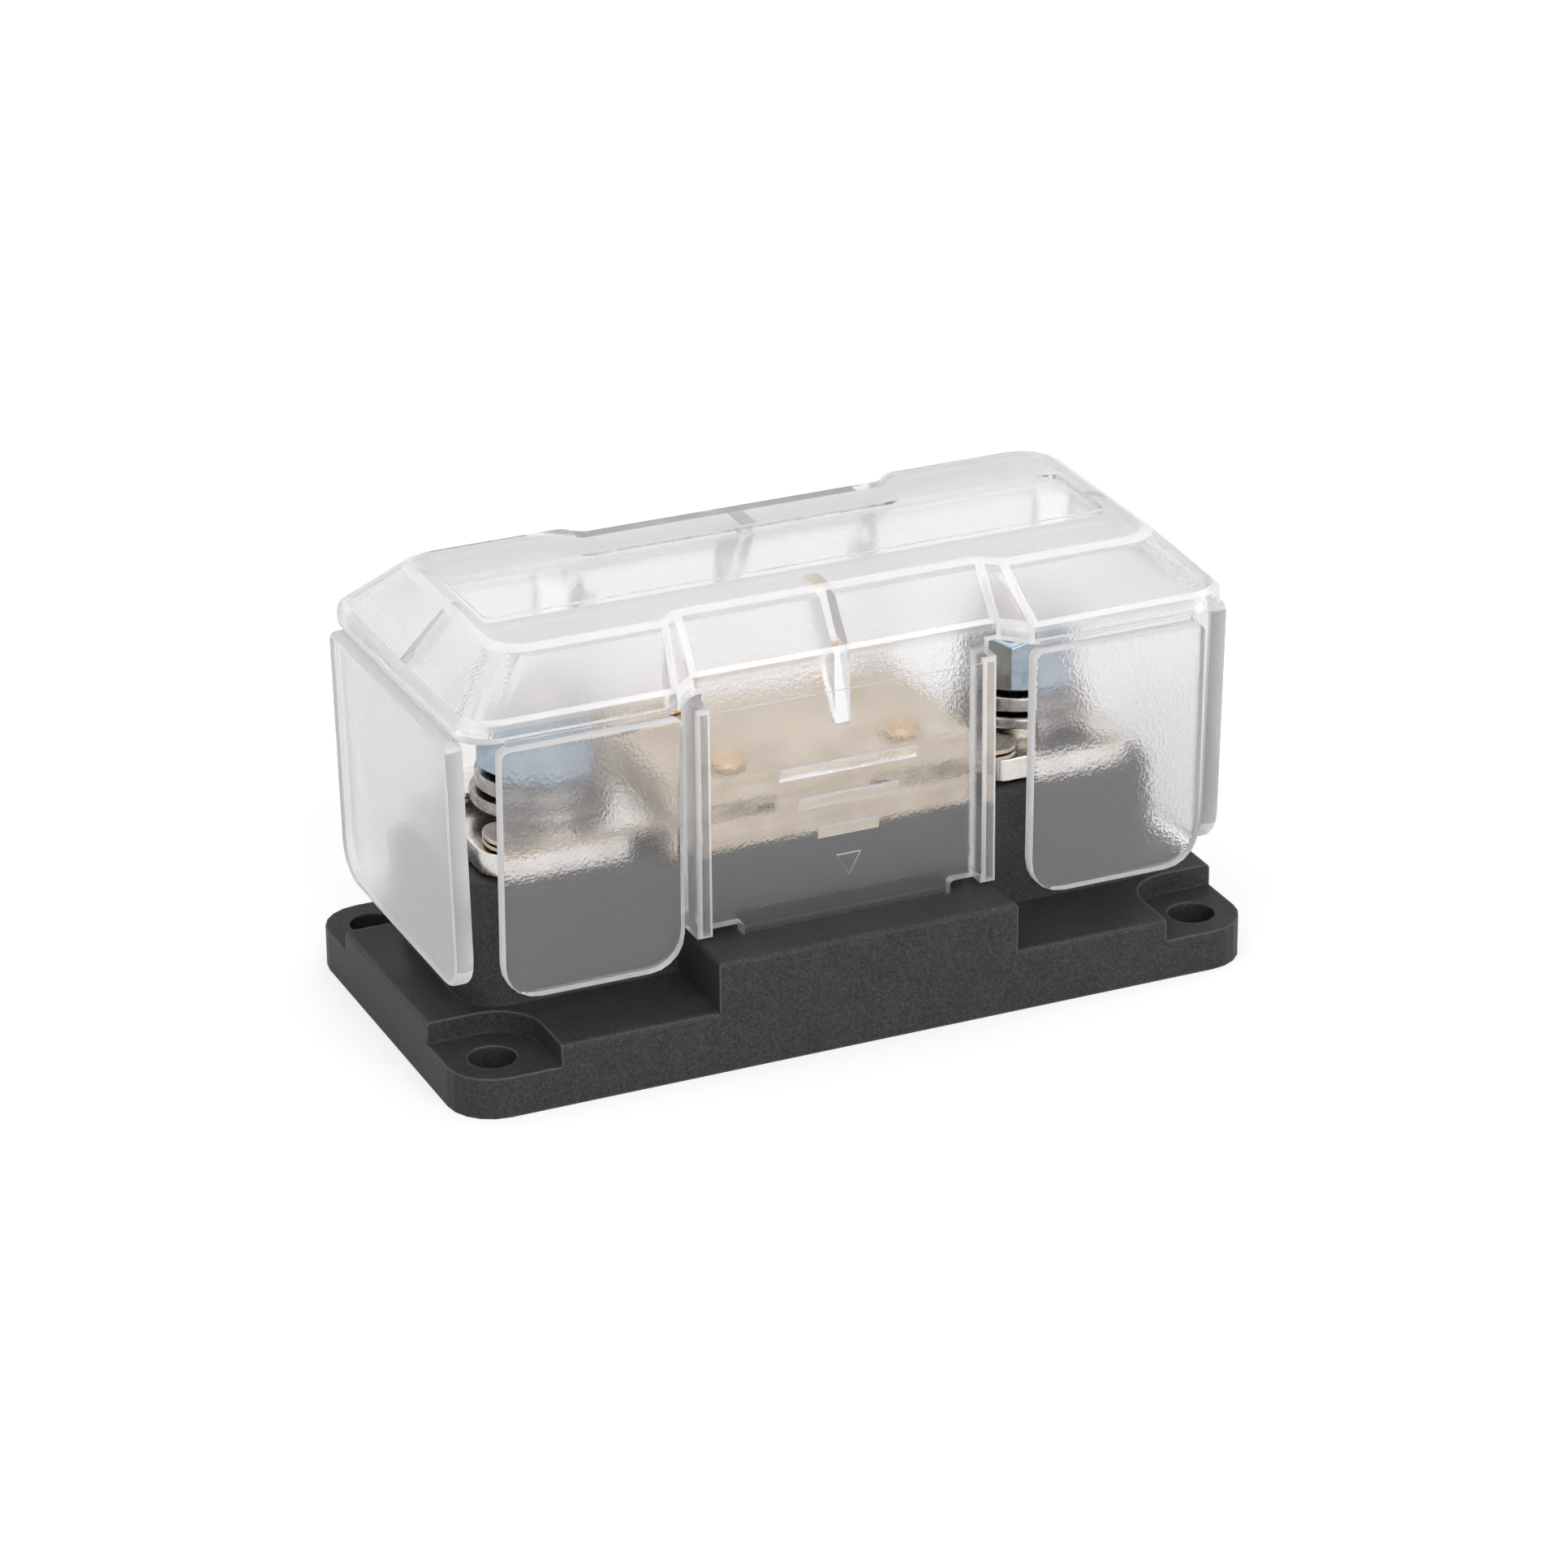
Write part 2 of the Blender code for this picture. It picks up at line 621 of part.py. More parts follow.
def right_end_corners():
    """Right end of the blade, with a slot open to the front, anticlockwise from the front."""
    half_y = FUSE_WIDTH / 2
    end_x = FUSE_LENGTH / 2
    slot_y = BORE_RADIUS + FUSE_SLOT_EXTRA_LENGTH
    low_x = STUD_X - BORE_RADIUS
    high_x = STUD_X + BORE_RADIUS
    return [
        (low_x, -half_y, FUSE_SLOT_MOUTH_RADIUS),
        (low_x, slot_y, SLOT_END_RADIUS),
        (high_x, slot_y, SLOT_END_RADIUS),
        (high_x, -half_y, FUSE_SLOT_MOUTH_RADIUS),
        (end_x, -half_y, FUSE_END_RADIUS),
        (end_x, half_y, FUSE_END_RADIUS),
    ]


def rivet_places():
    for name_x, side_x in (("left", -1), ("right", 1)):
        for name_y, side_y in (("front", -1), ("rear", 1)):
            place = (side_x * RIVET_SPACING_X / 2, side_y * RIVET_SPACING_Y / 2)
            yield f"{name_x}_{name_y}", place


def drill_for_rivets(item, sides=(-1, 1)):
    for label, (x, y) in rivet_places():
        if math.copysign(1, x) not in sides:
            continue
        hole = moved(circle(RIVET_DIAMETER / 2 + SEAT_GAP, SMALL_SEGMENTS), x, y)
        cut(item, add_object(f"rivet_hole_{label}", prism(hole, 0.0, COVER_HEIGHT)))


def make_fuse_link(material):
    """Upper layer of the blade, one strip from end to end with a narrow neck between."""
    half_y = FUSE_WIDTH / 2
    neck_x = FUSE_NECK_LENGTH / 2
    neck_y = FUSE_NECK_WIDTH / 2
    corners = [
        (-neck_x, -half_y, 0.0),
        (-neck_x, -neck_y, FUSE_NECK_RADIUS),
        (neck_x, -neck_y, FUSE_NECK_RADIUS),
        (neck_x, -half_y, 0.0),
    ]
    corners += right_end_corners()
    corners += [
        (neck_x, half_y, 0.0),
        (neck_x, neck_y, FUSE_NECK_RADIUS),
        (-neck_x, neck_y, FUSE_NECK_RADIUS),
        (-neck_x, half_y, 0.0),
    ]
    corners += left_end_corners()
    link = add_object("fuse_link", prism(rounded(corners), LINK_BOTTOM, LINK_TOP), material)
    drill_for_rivets(link)
    smooth(link)


def make_fuse_tabs(material):
    """Lower layer of the blade, one tab at each end."""
    half_y = FUSE_WIDTH / 2
    inner = FUSE_TAB_INNER_X
    left = [(-inner, -half_y, 0.0), (-inner, half_y, 0.0)] + left_end_corners()
    right = [(inner, half_y, 0.0), (inner, -half_y, 0.0)] + right_end_corners()
    for name, corners, side in (("left_fuse_tab", left, -1), ("right_fuse_tab", right, 1)):
        outline = rounded(corners)
        tab = add_object(name, prism(outline, TAB_BOTTOM, TAB_BOTTOM + FUSE_LAYER), material)
        drill_for_rivets(tab, sides=(side,))
        smooth(tab)


def make_fuse_board(name, low, high, material):
    outline = rectangle(BODY_LENGTH / 2, BODY_WIDTH / 2, BOARD_CORNER_RADIUS)
    board = add_object(name, prism(outline, low, high), material)
    drill_for_rivets(board)
    smooth(board)


def make_rivets(material):
    """Rivets with a low upper head; the lower end stops inside the bottom board."""
    high = BOARD_TOP + SEAT_GAP
    shank = RIVET_DIAMETER / 2
    head = RIVET_HEAD_DIAMETER / 2
    lip = RIVET_HEAD_HEIGHT / 3
    crown = head * RIVET_CROWN_SHARE
    for label, (x, y) in rivet_places():
        rivet = turned([
            (shank, BOARD_BOTTOM + RIVET_RECESS),
            (shank, high),
            (head, high),
            (head, high + lip),
            (crown, high + RIVET_HEAD_HEIGHT),
        ], SMALL_SEGMENTS)
        item = add_object(f"fuse_rivet_{label}", rivet, material)
        item.location = (x, y, 0.0)
        smooth(item)


# Cover


def cover_ring(height, half_x, half_y_end, half_y_middle, jog_x, inset=0.0):
    """Plan outline of the cover: two wide ends and a narrower middle, joined by slanted jogs."""
    end_x = half_x - inset
    end_y = half_y_end - inset
    middle_y = half_y_middle - inset
    inner_x = jog_x + inset * (math.sqrt(2.0) - 1.0)
    outer_x = inner_x + half_y_end - half_y_middle
    corner = COVER_CORNER_RADIUS - inset / 2
    jog = COVER_JOG_RADIUS
    quarter = [
        (end_x, end_y, corner),
        (outer_x, end_y, jog),
        (inner_x, middle_y, jog),
    ]
    corners = list(quarter)
    corners += [(-x, y, radius) for x, y, radius in reversed(quarter)]
    corners += [(-x, -y, radius) for x, y, radius in quarter]
    corners += [(x, -y, radius) for x, y, radius in reversed(quarter)]
    return at_height(rounded(corners, steps=4), height)


def roof_levels():
    """Half sizes of the outer roof at the eave and at the top, as keyword arguments."""
    jog_x = COVER_MIDDLE_LENGTH / 2
    eave = {
        "half_x": COVER_LENGTH / 2,
        "half_y_end": COVER_END_WIDTH / 2,
        "half_y_middle": COVER_MIDDLE_WIDTH / 2,
        "jog_x": jog_x,
    }
    top = {
        "half_x": ROOF_LENGTH / 2,
        "half_y_end": COVER_END_WIDTH / 2 - ROOF_SIDE_RUN,
        "half_y_middle": COVER_MIDDLE_WIDTH / 2 - ROOF_MIDDLE_RUN,
        "jog_x": jog_x,
    }
    return eave, top


def between(first, second, share):
    return {key: first[key] + (second[key] - first[key]) * share for key in first}


def make_roof(material):
    """Hipped roof open underneath; below its eave it keeps a band at the ends and a panel between."""
    eave, top = roof_levels()
    skirt = PANEL_STEP_HEIGHT - COVER_WALL
    fillet = COVER_EDGE_FILLET
    rise = COVER_HEIGHT - EAVE_HEIGHT
    trim = fillet / 4
    outer = loft([
        cover_ring(skirt, **eave),
        cover_ring(EAVE_HEIGHT - fillet, **eave),
        cover_ring(EAVE_HEIGHT, inset=trim, **eave),
        cover_ring(EAVE_HEIGHT + fillet, **between(eave, top, (fillet + trim) / rise)),
        cover_ring(COVER_HEIGHT - fillet, **between(eave, top, 1.0 - fillet / rise)),
        cover_ring(COVER_HEIGHT - trim, inset=trim, **top),
        cover_ring(COVER_HEIGHT, inset=fillet, **top),
    ])
    roof = add_object("cover", outer, material)
    wall = COVER_WALL
    slope_inset = wall * math.tan(ROOF_SLOPE / 2)
    hollow = loft([
        cover_ring(skirt - wall, inset=wall, **eave),
        cover_ring(EAVE_HEIGHT - slope_inset, inset=wall, **eave),
        cover_ring(COVER_HEIGHT - wall, inset=slope_inset, **top),
    ])
    cut(roof, add_object("roof_hollow", hollow))
    near_x = COVER_MIDDLE_LENGTH / 2 - POST_THICKNESS / 2
    for side in (-1, 1):
        low_x, high_x = sorted((side * near_x, side * COVER_LENGTH))
        below_band = box(
            "below_band", (low_x, -COVER_END_WIDTH, 0.0), (high_x, COVER_END_WIDTH, BAND_BOTTOM_HEIGHT))
        cut(roof, below_band)
    recess = rectangle(WINDOW_RECESS_LENGTH / 2, WINDOW_RECESS_WIDTH / 2, WINDOW_RECESS_RADIUS)
    floor = COVER_HEIGHT - WINDOW_RECESS_DEPTH
    cut(roof, add_object("window_recess", prism(recess, floor, 2 * COVER_HEIGHT)))
    return roof


def flap_mesh(width):
    """Flap hanging from its top edge at the origin, its outer face in the XZ plane at Y = 0."""
    half = width / 2
    outline = rounded([
        (half, -FLAP_HEIGHT, FLAP_CORNER_RADIUS),
        (half, 0.0, FLAP_TOP_RADIUS),
        (-half, 0.0, FLAP_TOP_RADIUS),
        (-half, -FLAP_HEIGHT, FLAP_CORNER_RADIUS),
    ])
    flap = prism(outline, 0.0, FLAP_THICKNESS, axis=ALONG_Y)
    rim = [
        edge for edge in flap.edges
        if abs(edge.verts[0].co.y - edge.verts[1].co.y) < 1e-7
    ]
    bmesh.ops.bevel(
        flap, geom=rim, offset=FLAP_EDGE_ROUND, segments=2, profile=0.5, affect="EDGES")
    lean = Matrix.Rotation(FLAP_DRAFT, 4, "X")
    bmesh.ops.transform(flap, matrix=lean, verts=flap.verts)
    return flap


def join_flap(cover, name, width, along, outward, turn):
    """Hang a flap below the band; turn 0 faces the front and each quarter goes anticlockwise."""
    flap = flap_mesh(width)
    web_low = -2 * FLAP_EDGE_ROUND
    web_high = BAND_BOTTOM_HEIGHT - FLAP_TOP_HEIGHT + FLAP_EDGE_ROUND
    web_outer = FLAP_THICKNESS - FLAP_WEB_THICKNESS
    web_half = width / 2 - FLAP_TOP_RADIUS
    web = prism([
        Vector((-web_half, web_outer)),
        Vector((web_half, web_outer)),
        Vector((web_half, FLAP_THICKNESS - FLAP_WEB_THICKNESS / 4)),
        Vector((-web_half, FLAP_THICKNESS - FLAP_WEB_THICKNESS / 4)),
    ], web_low, web_high)
    place = Matrix.Rotation(math.radians(90.0) * turn, 4, "Z")
    place = place @ Matrix.Translation((along, -outward, FLAP_TOP_HEIGHT))
    for label, mesh_data in ((name, flap), (f"{name}_web", web)):
        bmesh.ops.transform(mesh_data, matrix=place, verts=mesh_data.verts)
        join(cover, add_object(label, mesh_data))


def join_flaps(cover):
    side_y = COVER_END_WIDTH / 2 + FLAP_PROUD
    end_x = COVER_LENGTH / 2 + FLAP_PROUD
    for turn in (0, 2):
        for along in (-SIDE_FLAP_CENTRE_X, SIDE_FLAP_CENTRE_X):
            join_flap(cover, "side_flap", SIDE_FLAP_WIDTH, along, side_y, turn)
    for turn in (1, 3):
        join_flap(cover, "end_flap", END_FLAP_WIDTH, 0.0, end_x, turn)


def join_panel(cover, side):
    """Window panel with its tongue, a step proud of the wall above it."""
    half = COVER_MIDDLE_LENGTH / 2 - POST_THICKNESS / 2
    tongue = TONGUE_WIDTH / 2
    tongue_low = BLOCK_HEIGHT + SEAT_GAP - TONGUE_LENGTH + COVER_WALL / 2
    corner = TONGUE_CORNER_RADIUS
    panel = rounded([
        (half, PANEL_BOTTOM_HEIGHT, 0.0),
        (half, PANEL_STEP_HEIGHT, 0.0),
        (-half, PANEL_STEP_HEIGHT, 0.0),
        (-half, PANEL_BOTTOM_HEIGHT, 0.0),
        (-tongue, PANEL_BOTTOM_HEIGHT, corner / 2),
        (-tongue, tongue_low, corner),
        (tongue, tongue_low, corner),
        (tongue, PANEL_BOTTOM_HEIGHT, corner / 2),
    ])
    inner_y = side * (PANEL_INNER_Y + PANEL_INNER_STEP)
    outer_y = side * (PANEL_OUTER_Y + PANEL_STEP_PROUD)
    join(cover, add_object("panel", prism(panel, inner_y, outer_y, axis=ALONG_Y)))


def join_posts(cover, side):
    """Posts at the panel's upright edges, which stand on the latch block."""
    outer_y = PANEL_OUTER_Y + POST_PROUD
    inner_y = outer_y - POST_INWARD_REACH - POST_PROUD
    far_x = COVER_MIDDLE_LENGTH / 2
    for along in (-1, 1):
        low_x, high_x = sorted((along * far_x, along * (far_x - POST_THICKNESS)))
        low_y, high_y = sorted((side * inner_y, side * outer_y))
        outline = [
            Vector((low_x, low_y)),
            Vector((high_x, low_y)),
            Vector((high_x, high_y)),
            Vector((low_x, high_y)),
        ]
        post = prism(outline, POST_BOTTOM, POST_TOP_HEIGHT)
        outer_face = side * outer_y
        soften(post, POST_EDGE_ROUND, lambda edge: all(
            abs(vert.co.y - outer_face) < 1e-7 for vert in edge.verts))
        join(cover, add_object("post", post))
    return cover


def join_grips(cover, side):
    """Wedge bars that narrow downwards, and a small arrow below them."""
    face = PANEL_OUTER_Y + PANEL_STEP_PROUD
    bury = COVER_WALL / 4
    for index in range(GRIP_COUNT):
        top = GRIP_TOP_HEIGHT - GRIP_PITCH * index
        half = (GRIP_WIDEST - GRIP_NARROWING * index) / 2
        wedge = [
            Vector((side * (face - bury), top - GRIP_HEIGHT - bury)),
            Vector((side * (face - bury), top)),
            Vector((side * (face + GRIP_PROUD), top)),
            Vector((side * (face + GRIP_PROUD / 4), top - GRIP_HEIGHT)),
        ]
        join(cover, add_object("grip_bar", prism(wedge, -half, half, axis=ALONG_X)))
    top = GRIP_TOP_HEIGHT - GRIP_PITCH * GRIP_COUNT
    arrow = [
        Vector((-ARROW_WIDTH / 2, top)),
        Vector((0.0, top - ARROW_HEIGHT)),
        Vector((ARROW_WIDTH / 2, top)),
    ]
    near, far = side * (face - bury), side * (face + GRIP_PROUD / 2)
    join(cover, add_object("arrow", prism(arrow, near, far, axis=ALONG_Y)))


def join_middle_gusset(cover, side):
    """Upright web in the corner between the roof and a window panel."""
    half = GUSSET_THICKNESS / 2
    bury = COVER_WALL / 2
    roof = COVER_HEIGHT - bury
    top_y = COVER_MIDDLE_WIDTH / 2 - ROOF_MIDDLE_RUN
    eave_y = PANEL_INNER_Y + bury
    web = [
        Vector((side * GUSSET_TOP_REACH, roof)),
        Vector((side * (top_y - bury / 2), roof)),
        Vector((side * eave_y, EAVE_HEIGHT - bury)),
        Vector((side * eave_y, GUSSET_TIP_HEIGHT)),
        Vector((side * (PANEL_INNER_Y - bury / 2), GUSSET_TIP_HEIGHT + bury / 2)),
    ]
    join(cover, add_object("middle_gusset", prism(web, -half, half, axis=ALONG_X)))


def join_end_gusset(cover, side):
    """Low web under the slope of one end."""
    half = GUSSET_THICKNESS / 2
    bury = COVER_WALL / 2
    top_x = ROOF_LENGTH / 2
    eave_x = COVER_LENGTH / 2 - bury
    web = [
        Vector((side * (top_x - END_GUSSET_REACH), COVER_HEIGHT - bury)),
        Vector((side * (top_x - bury / 2), COVER_HEIGHT - bury)),
        Vector((side * eave_x, EAVE_HEIGHT - bury)),
        Vector((side * eave_x, BAND_BOTTOM_HEIGHT + bury / 2)),
        Vector((side * (eave_x - bury - END_GUSSET_REACH), EAVE_HEIGHT - bury)),
    ]
    join(cover, add_object("end_gusset", prism(web, -half, half, axis=ALONG_Y)))


def make_cover(material):
    """One clear moulding: roof, six break-out flaps, two window panels with tongues."""
    cover = make_roof(material)
    join_flaps(cover)
    for side in (-1, 1):
        join_panel(cover, side)
        join_posts(cover, side)
        join_grips(cover, side)
        join_middle_gusset(cover, side)
        join_end_gusset(cover, side)
    smooth(cover)
    return cover


def main():
    clear_scene()
    nylon = make_material("black_nylon", (0.03, 0.029, 0.03), 0.55)
    clear_plastic = make_material("clear_plastic", (0.82, 0.83, 0.84), 0.3, alpha=0.35)
    tinned = make_material("tinned_copper", (0.82, 0.79, 0.74), 0.3, 1.0)
    bright_zinc = make_material("bright_zinc", (0.62, 0.68, 0.73), 0.3, 1.0)
    steel = make_material("washer_steel", (0.5, 0.48, 0.45), 0.35, 1.0)
    laminate = make_material("fuse_laminate", (0.55, 0.44, 0.3), 0.7)
    copper = make_material("rivet_copper", (0.8, 0.42, 0.2), 0.35, 1.0)
    make_base(nylon)
    for label, side in (("left", -1), ("right", 1)):
        make_terminal_plate(f"{label}_terminal_plate", side, tinned)
        make_stud(f"{label}_stud", side, bright_zinc)
        make_flat_washer(f"{label}_flat_washer", side, steel)
        make_spring_washer(f"{label}_spring_washer", side, steel)
        make_nut(f"{label}_nut", side, bright_zinc)
    make_fuse_link(tinned)
    make_fuse_tabs(tinned)
    make_fuse_board("fuse_bottom_board", BOARD_BOTTOM, TAB_BOTTOM - SEAT_GAP, laminate)
    make_fuse_board("fuse_top_board", LINK_TOP + SEAT_GAP, BOARD_TOP, laminate)
    make_rivets(copper)
    make_cover(clear_plastic)


main()
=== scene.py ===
"""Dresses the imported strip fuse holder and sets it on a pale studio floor.

X runs along the holder, Y across it towards the rear and Z up, in metres.
"""

import json
import math

import bmesh
import bpy
from bpy.props import FloatProperty, FloatVectorProperty, IntProperty, PointerProperty
from mathutils import Euler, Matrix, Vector

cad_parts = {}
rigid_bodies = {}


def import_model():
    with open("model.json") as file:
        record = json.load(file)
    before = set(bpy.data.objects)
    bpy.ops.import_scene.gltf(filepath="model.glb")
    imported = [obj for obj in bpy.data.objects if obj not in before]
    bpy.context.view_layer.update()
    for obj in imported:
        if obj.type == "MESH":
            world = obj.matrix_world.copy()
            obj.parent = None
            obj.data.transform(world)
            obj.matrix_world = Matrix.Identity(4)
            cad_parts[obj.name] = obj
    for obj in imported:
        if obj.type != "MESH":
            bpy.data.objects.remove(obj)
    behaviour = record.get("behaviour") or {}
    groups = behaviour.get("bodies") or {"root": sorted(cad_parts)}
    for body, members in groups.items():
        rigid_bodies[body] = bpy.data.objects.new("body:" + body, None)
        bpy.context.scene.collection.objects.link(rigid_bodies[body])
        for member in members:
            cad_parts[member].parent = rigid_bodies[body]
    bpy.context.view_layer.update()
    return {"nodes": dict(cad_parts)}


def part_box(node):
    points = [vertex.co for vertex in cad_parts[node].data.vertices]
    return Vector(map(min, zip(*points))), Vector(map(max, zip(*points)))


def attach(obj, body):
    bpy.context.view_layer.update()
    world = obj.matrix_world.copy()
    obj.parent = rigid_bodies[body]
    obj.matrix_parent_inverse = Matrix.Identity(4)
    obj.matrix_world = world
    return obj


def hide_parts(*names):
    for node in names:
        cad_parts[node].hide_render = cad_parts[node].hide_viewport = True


bl_info = {
    "name": "Strip fuse holder",
    "version": (1, 0, 0),
    "blender": (4, 5, 0),
    "location": "3D View > Sidebar > Holder",
    "description": "Finishes and small detail for a strip fuse holder with a clear cover",
    "category": "Object",
}

MM = 0.001
SIDES = ("left", "right")

# The clear cover: its window in the roof, and the heights where its finish changes
WINDOW_HALF_X = 38.8 * MM
WINDOW_HALF_Y = 6.4 * MM
WINDOW_MARGIN = 1.5 * MM
WINDOW_EDGE_DEPTH = 3.0 * MM
POLISHED_TOP = 1.5 * MM
INNER_ROOF_DEPTH = 7.5 * MM
EAVE_HEIGHT = 44.5 * MM
EAVE_BLEND = 1.5 * MM
CEILING_HEIGHT = 50.7 * MM
CEILING_TOLERANCE = 0.1 * MM
GUSSET_HALF_WIDTH = 2.0 * MM
GUSSET_REACH = 19.0 * MM
RIM_WIDTH = 1.15 * MM
FLAT_WIDTH = 1.6 * MM

# Shares of a face's unit normal that tell which way the face looks
LEANING = 0.3
SIDEWAYS = 0.8
STRAIGHT = 0.9

# Studs, washers and fuse
STUD_RADIUS = 4.0 * MM
STUD_HEAD_HEIGHT = 5.3 * MM
HEAD_OVERLAP = 0.2 * MM
RIDGE_SHARE = 0.62
PLAIN_TURNS_BELOW = 0.7
PLAIN_TURNS = 1.6
COIL_BORE = 4.3 * MM
COIL_RISE = 0.3 * MM
COIL_TURNS = 348.0 / 360.0
COIL_CORNER_SHARE = 0.16
BLADE_EDGE = 0.08 * MM
BOARD_EDGE = 0.12 * MM
LAND_HALF_LENGTH = 6.0 * MM
LAND_DEPTH = 3.0 * MM
LAND_INSET = 0.15 * MM
RIVET_BORE = 0.9 * MM
RIVET_HEIGHT = 0.9 * MM
RIVET_LIFT = 0.1 * MM
RIVET_FLOOR_REACH = 0.6
RIVET_FLOOR_HEIGHT = 0.3
RIVET_NODES = [f"fuse_rivet_{x}_{y}" for x in SIDES for y in ("front", "rear")]

# The studio: each lamp's name, place, size in metres and power in watts
LAMPS = (
    ("key", (0.05, -1.5, 0.7), 1.5, 18.5),
    ("side", (-0.7, -0.3, 1.25), 0.9, 5.2),
    ("top", (0.42, 0.42, 1.0), 0.9, 2.4),
    ("rear", (-0.75, 1.3, 0.75), 1.2, 4.0),
    ("fill", (1.3, -0.3, 0.6), 0.9, 3.0),
)
LAMP_AIM = (0.0, 0.0, 0.025)
WORLD_STRENGTH = 0.42
FLOOR_REACH = 4.0
FLOOR_GREY = 0.8
FLOOR_SEEN_GREY = 0.5
FLOOR_GLOW = 0.56
CAMERA_PLACE = (-0.249864, -0.561850, 0.300158)
CAMERA_TURN = (1.1465672, 0.0075357, -0.4223917)
CAMERA_LENS = 132.39

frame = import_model()


# Shader helpers


class Wire:
    """One output of a shader node, which can be used in sums."""

    def __init__(self, finish, socket):
        self.finish = finish
        self.socket = socket

    def _sum(self, operation, first, second):
        return self.finish.node("ShaderNodeMath", {"operation": operation}, {0: first, 1: second})

    def __add__(self, other):
        return self._sum("ADD", self, other)

    def __radd__(self, other):
        return self._sum("ADD", other, self)

    def __sub__(self, other):
        return self._sum("SUBTRACT", self, other)

    def __rsub__(self, other):
        return self._sum("SUBTRACT", other, self)

    def __mul__(self, other):
        return self._sum("MULTIPLY", self, other)

    def __rmul__(self, other):
        return self._sum("MULTIPLY", other, self)


class Finish:
    """A material, or the world, whose nodes are added one call at a time."""

    def __init__(self, name=None, tree=None):
        self.material = None
        if tree is None:
            self.material = bpy.data.materials.new(name)
            self.material.use_nodes = True
            tree = self.material.node_tree
        self.tree = tree
        self.tree.nodes.clear()
        self._object_place = None

    def node(self, kind, settings=None, sockets=None, out=0):
        """Add a node: its settings come first, then its sockets by name or number."""
        made = self.tree.nodes.new(kind)
        for key, value in (settings or {}).items():
            setattr(made, key, value)
        for key, value in (sockets or {}).items():
            target = made.inputs[key]
            if isinstance(value, Wire):
                self.tree.links.new(value.socket, target)
            else:
                target.default_value = value
        return Wire(self, made.outputs[out]) if len(made.outputs) else None

    def place(self):
        """Where a point lies on the holder, in metres."""
        if self._object_place is None:
            self._object_place = self.node("ShaderNodeTexCoord", out="Object")
        return self._object_place

    def height(self):
        """How high a point lies, in metres."""
        return self.node("ShaderNodeSeparateXYZ", {}, {0: self.place()}, "Z")

    def stretched(self, scale):
        """Where a point lies, with each axis scaled by its own factor."""
        return self.node("ShaderNodeMapping", {}, {"Vector": self.place(), "Scale": scale})

    def noise(self, size, detail=2.0, roughness=0.5, where=None):
        """Soft random grain whose grains are about the given size across."""
        return self.node("ShaderNodeTexNoise", {}, {
            "Vector": where or self.place(),
            "Scale": 1.0 / size,
            "Detail": detail,
            "Roughness": roughness,
        })

    def cells(self, size):
        """How far a point lies from the nearest of many scattered points."""
        return self.node("ShaderNodeTexVoronoi", {}, {
            "Vector": self.place(),
            "Scale": 1.0 / size,
        }, "Distance")

    def span(self, value, low, high, to_low, to_high):
        """Map one range of a value onto another, and stay inside it."""
        return self.node("ShaderNodeMapRange", {"clamp": True}, {
            "Value": value,
            "From Min": low,
            "From Max": high,
            "To Min": to_low,
            "To Max": to_high,
        })

    def blend(self, share, first, second):
        """Mix two colours. Sockets 6 and 7 and output 2 are the node's colour ones."""
        return self.node("ShaderNodeMix", {"data_type": "RGBA"}, {
            "Factor": share,
            6: opaque(first),
            7: opaque(second),
        }, 2)

    def outer_edges(self, width):
        """1 along edges that stick out, and 0 on flat areas and in inner corners."""
        rounded = self.node("ShaderNodeBevel", {"samples": 6}, {"Radius": width})
        level = self.node("ShaderNodeNewGeometry", out="Normal")
        turned = self.node(
            "ShaderNodeVectorMath", {"operation": "DOT_PRODUCT"}, {0: rounded, 1: level}, "Value")
        open_air = self.node(
            "ShaderNodeAmbientOcclusion", {"samples": 4, "only_local": True},
            {"Distance": 1.5 * MM}, "AO")
        edge = self.span(turned, 0.80, 0.98, 1.0, 0.0)
        return edge * self.span(open_air, 0.75, 0.95, 0.0, 1.0)

    def bumped(self, height, depth, strength=1.0, edge=0.0):
        """Small relief over a surface, on top of edges rounded by the given radius."""
        sockets = {"Height": height, "Distance": depth, "Strength": strength}
        if edge:
            sockets["Normal"] = self.node("ShaderNodeBevel", {"samples": 6}, {"Radius": edge})
        return self.node("ShaderNodeBump", {}, sockets)

    def surface(self, **sockets):
        """The surface shader, with its sockets named in plain words."""
        named = {
            key.replace("_", " ").title().replace("Ior", "IOR"): value
            for key, value in sockets.items()
        }
        shader = self.node("ShaderNodeBsdfPrincipled", {}, named)
        self.node("ShaderNodeOutputMaterial", {}, {"Surface": shader})
        return self.material


def opaque(colour):
    """A plain colour with its alpha added; a wired one as it is."""
    if isinstance(colour, Wire):
        return colour
    return (*colour, 1.0)


def grey(level):
    """One level of grey as a colour with its alpha."""
    return (level, level, level, 1.0)


# Mesh helpers


def own_copy(node, name):
    """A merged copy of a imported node's mesh, with its flat regions as single faces."""
    mesh = frame["nodes"][node].data.copy()
    mesh.name = name
    mesh.materials.clear()
    work = bmesh.new()
    work.from_mesh(mesh)
    bmesh.ops.remove_doubles(work, verts=work.verts, dist=0.001 * MM)
    bmesh.ops.dissolve_limit(
        work, angle_limit=math.radians(0.5),
        verts=work.verts, edges=work.edges, delimit={"NORMAL"})
    work.to_mesh(mesh)
    work.free()
    piece = bpy.data.objects.new(name, mesh)
    bpy.context.scene.collection.objects.link(piece)
    return piece


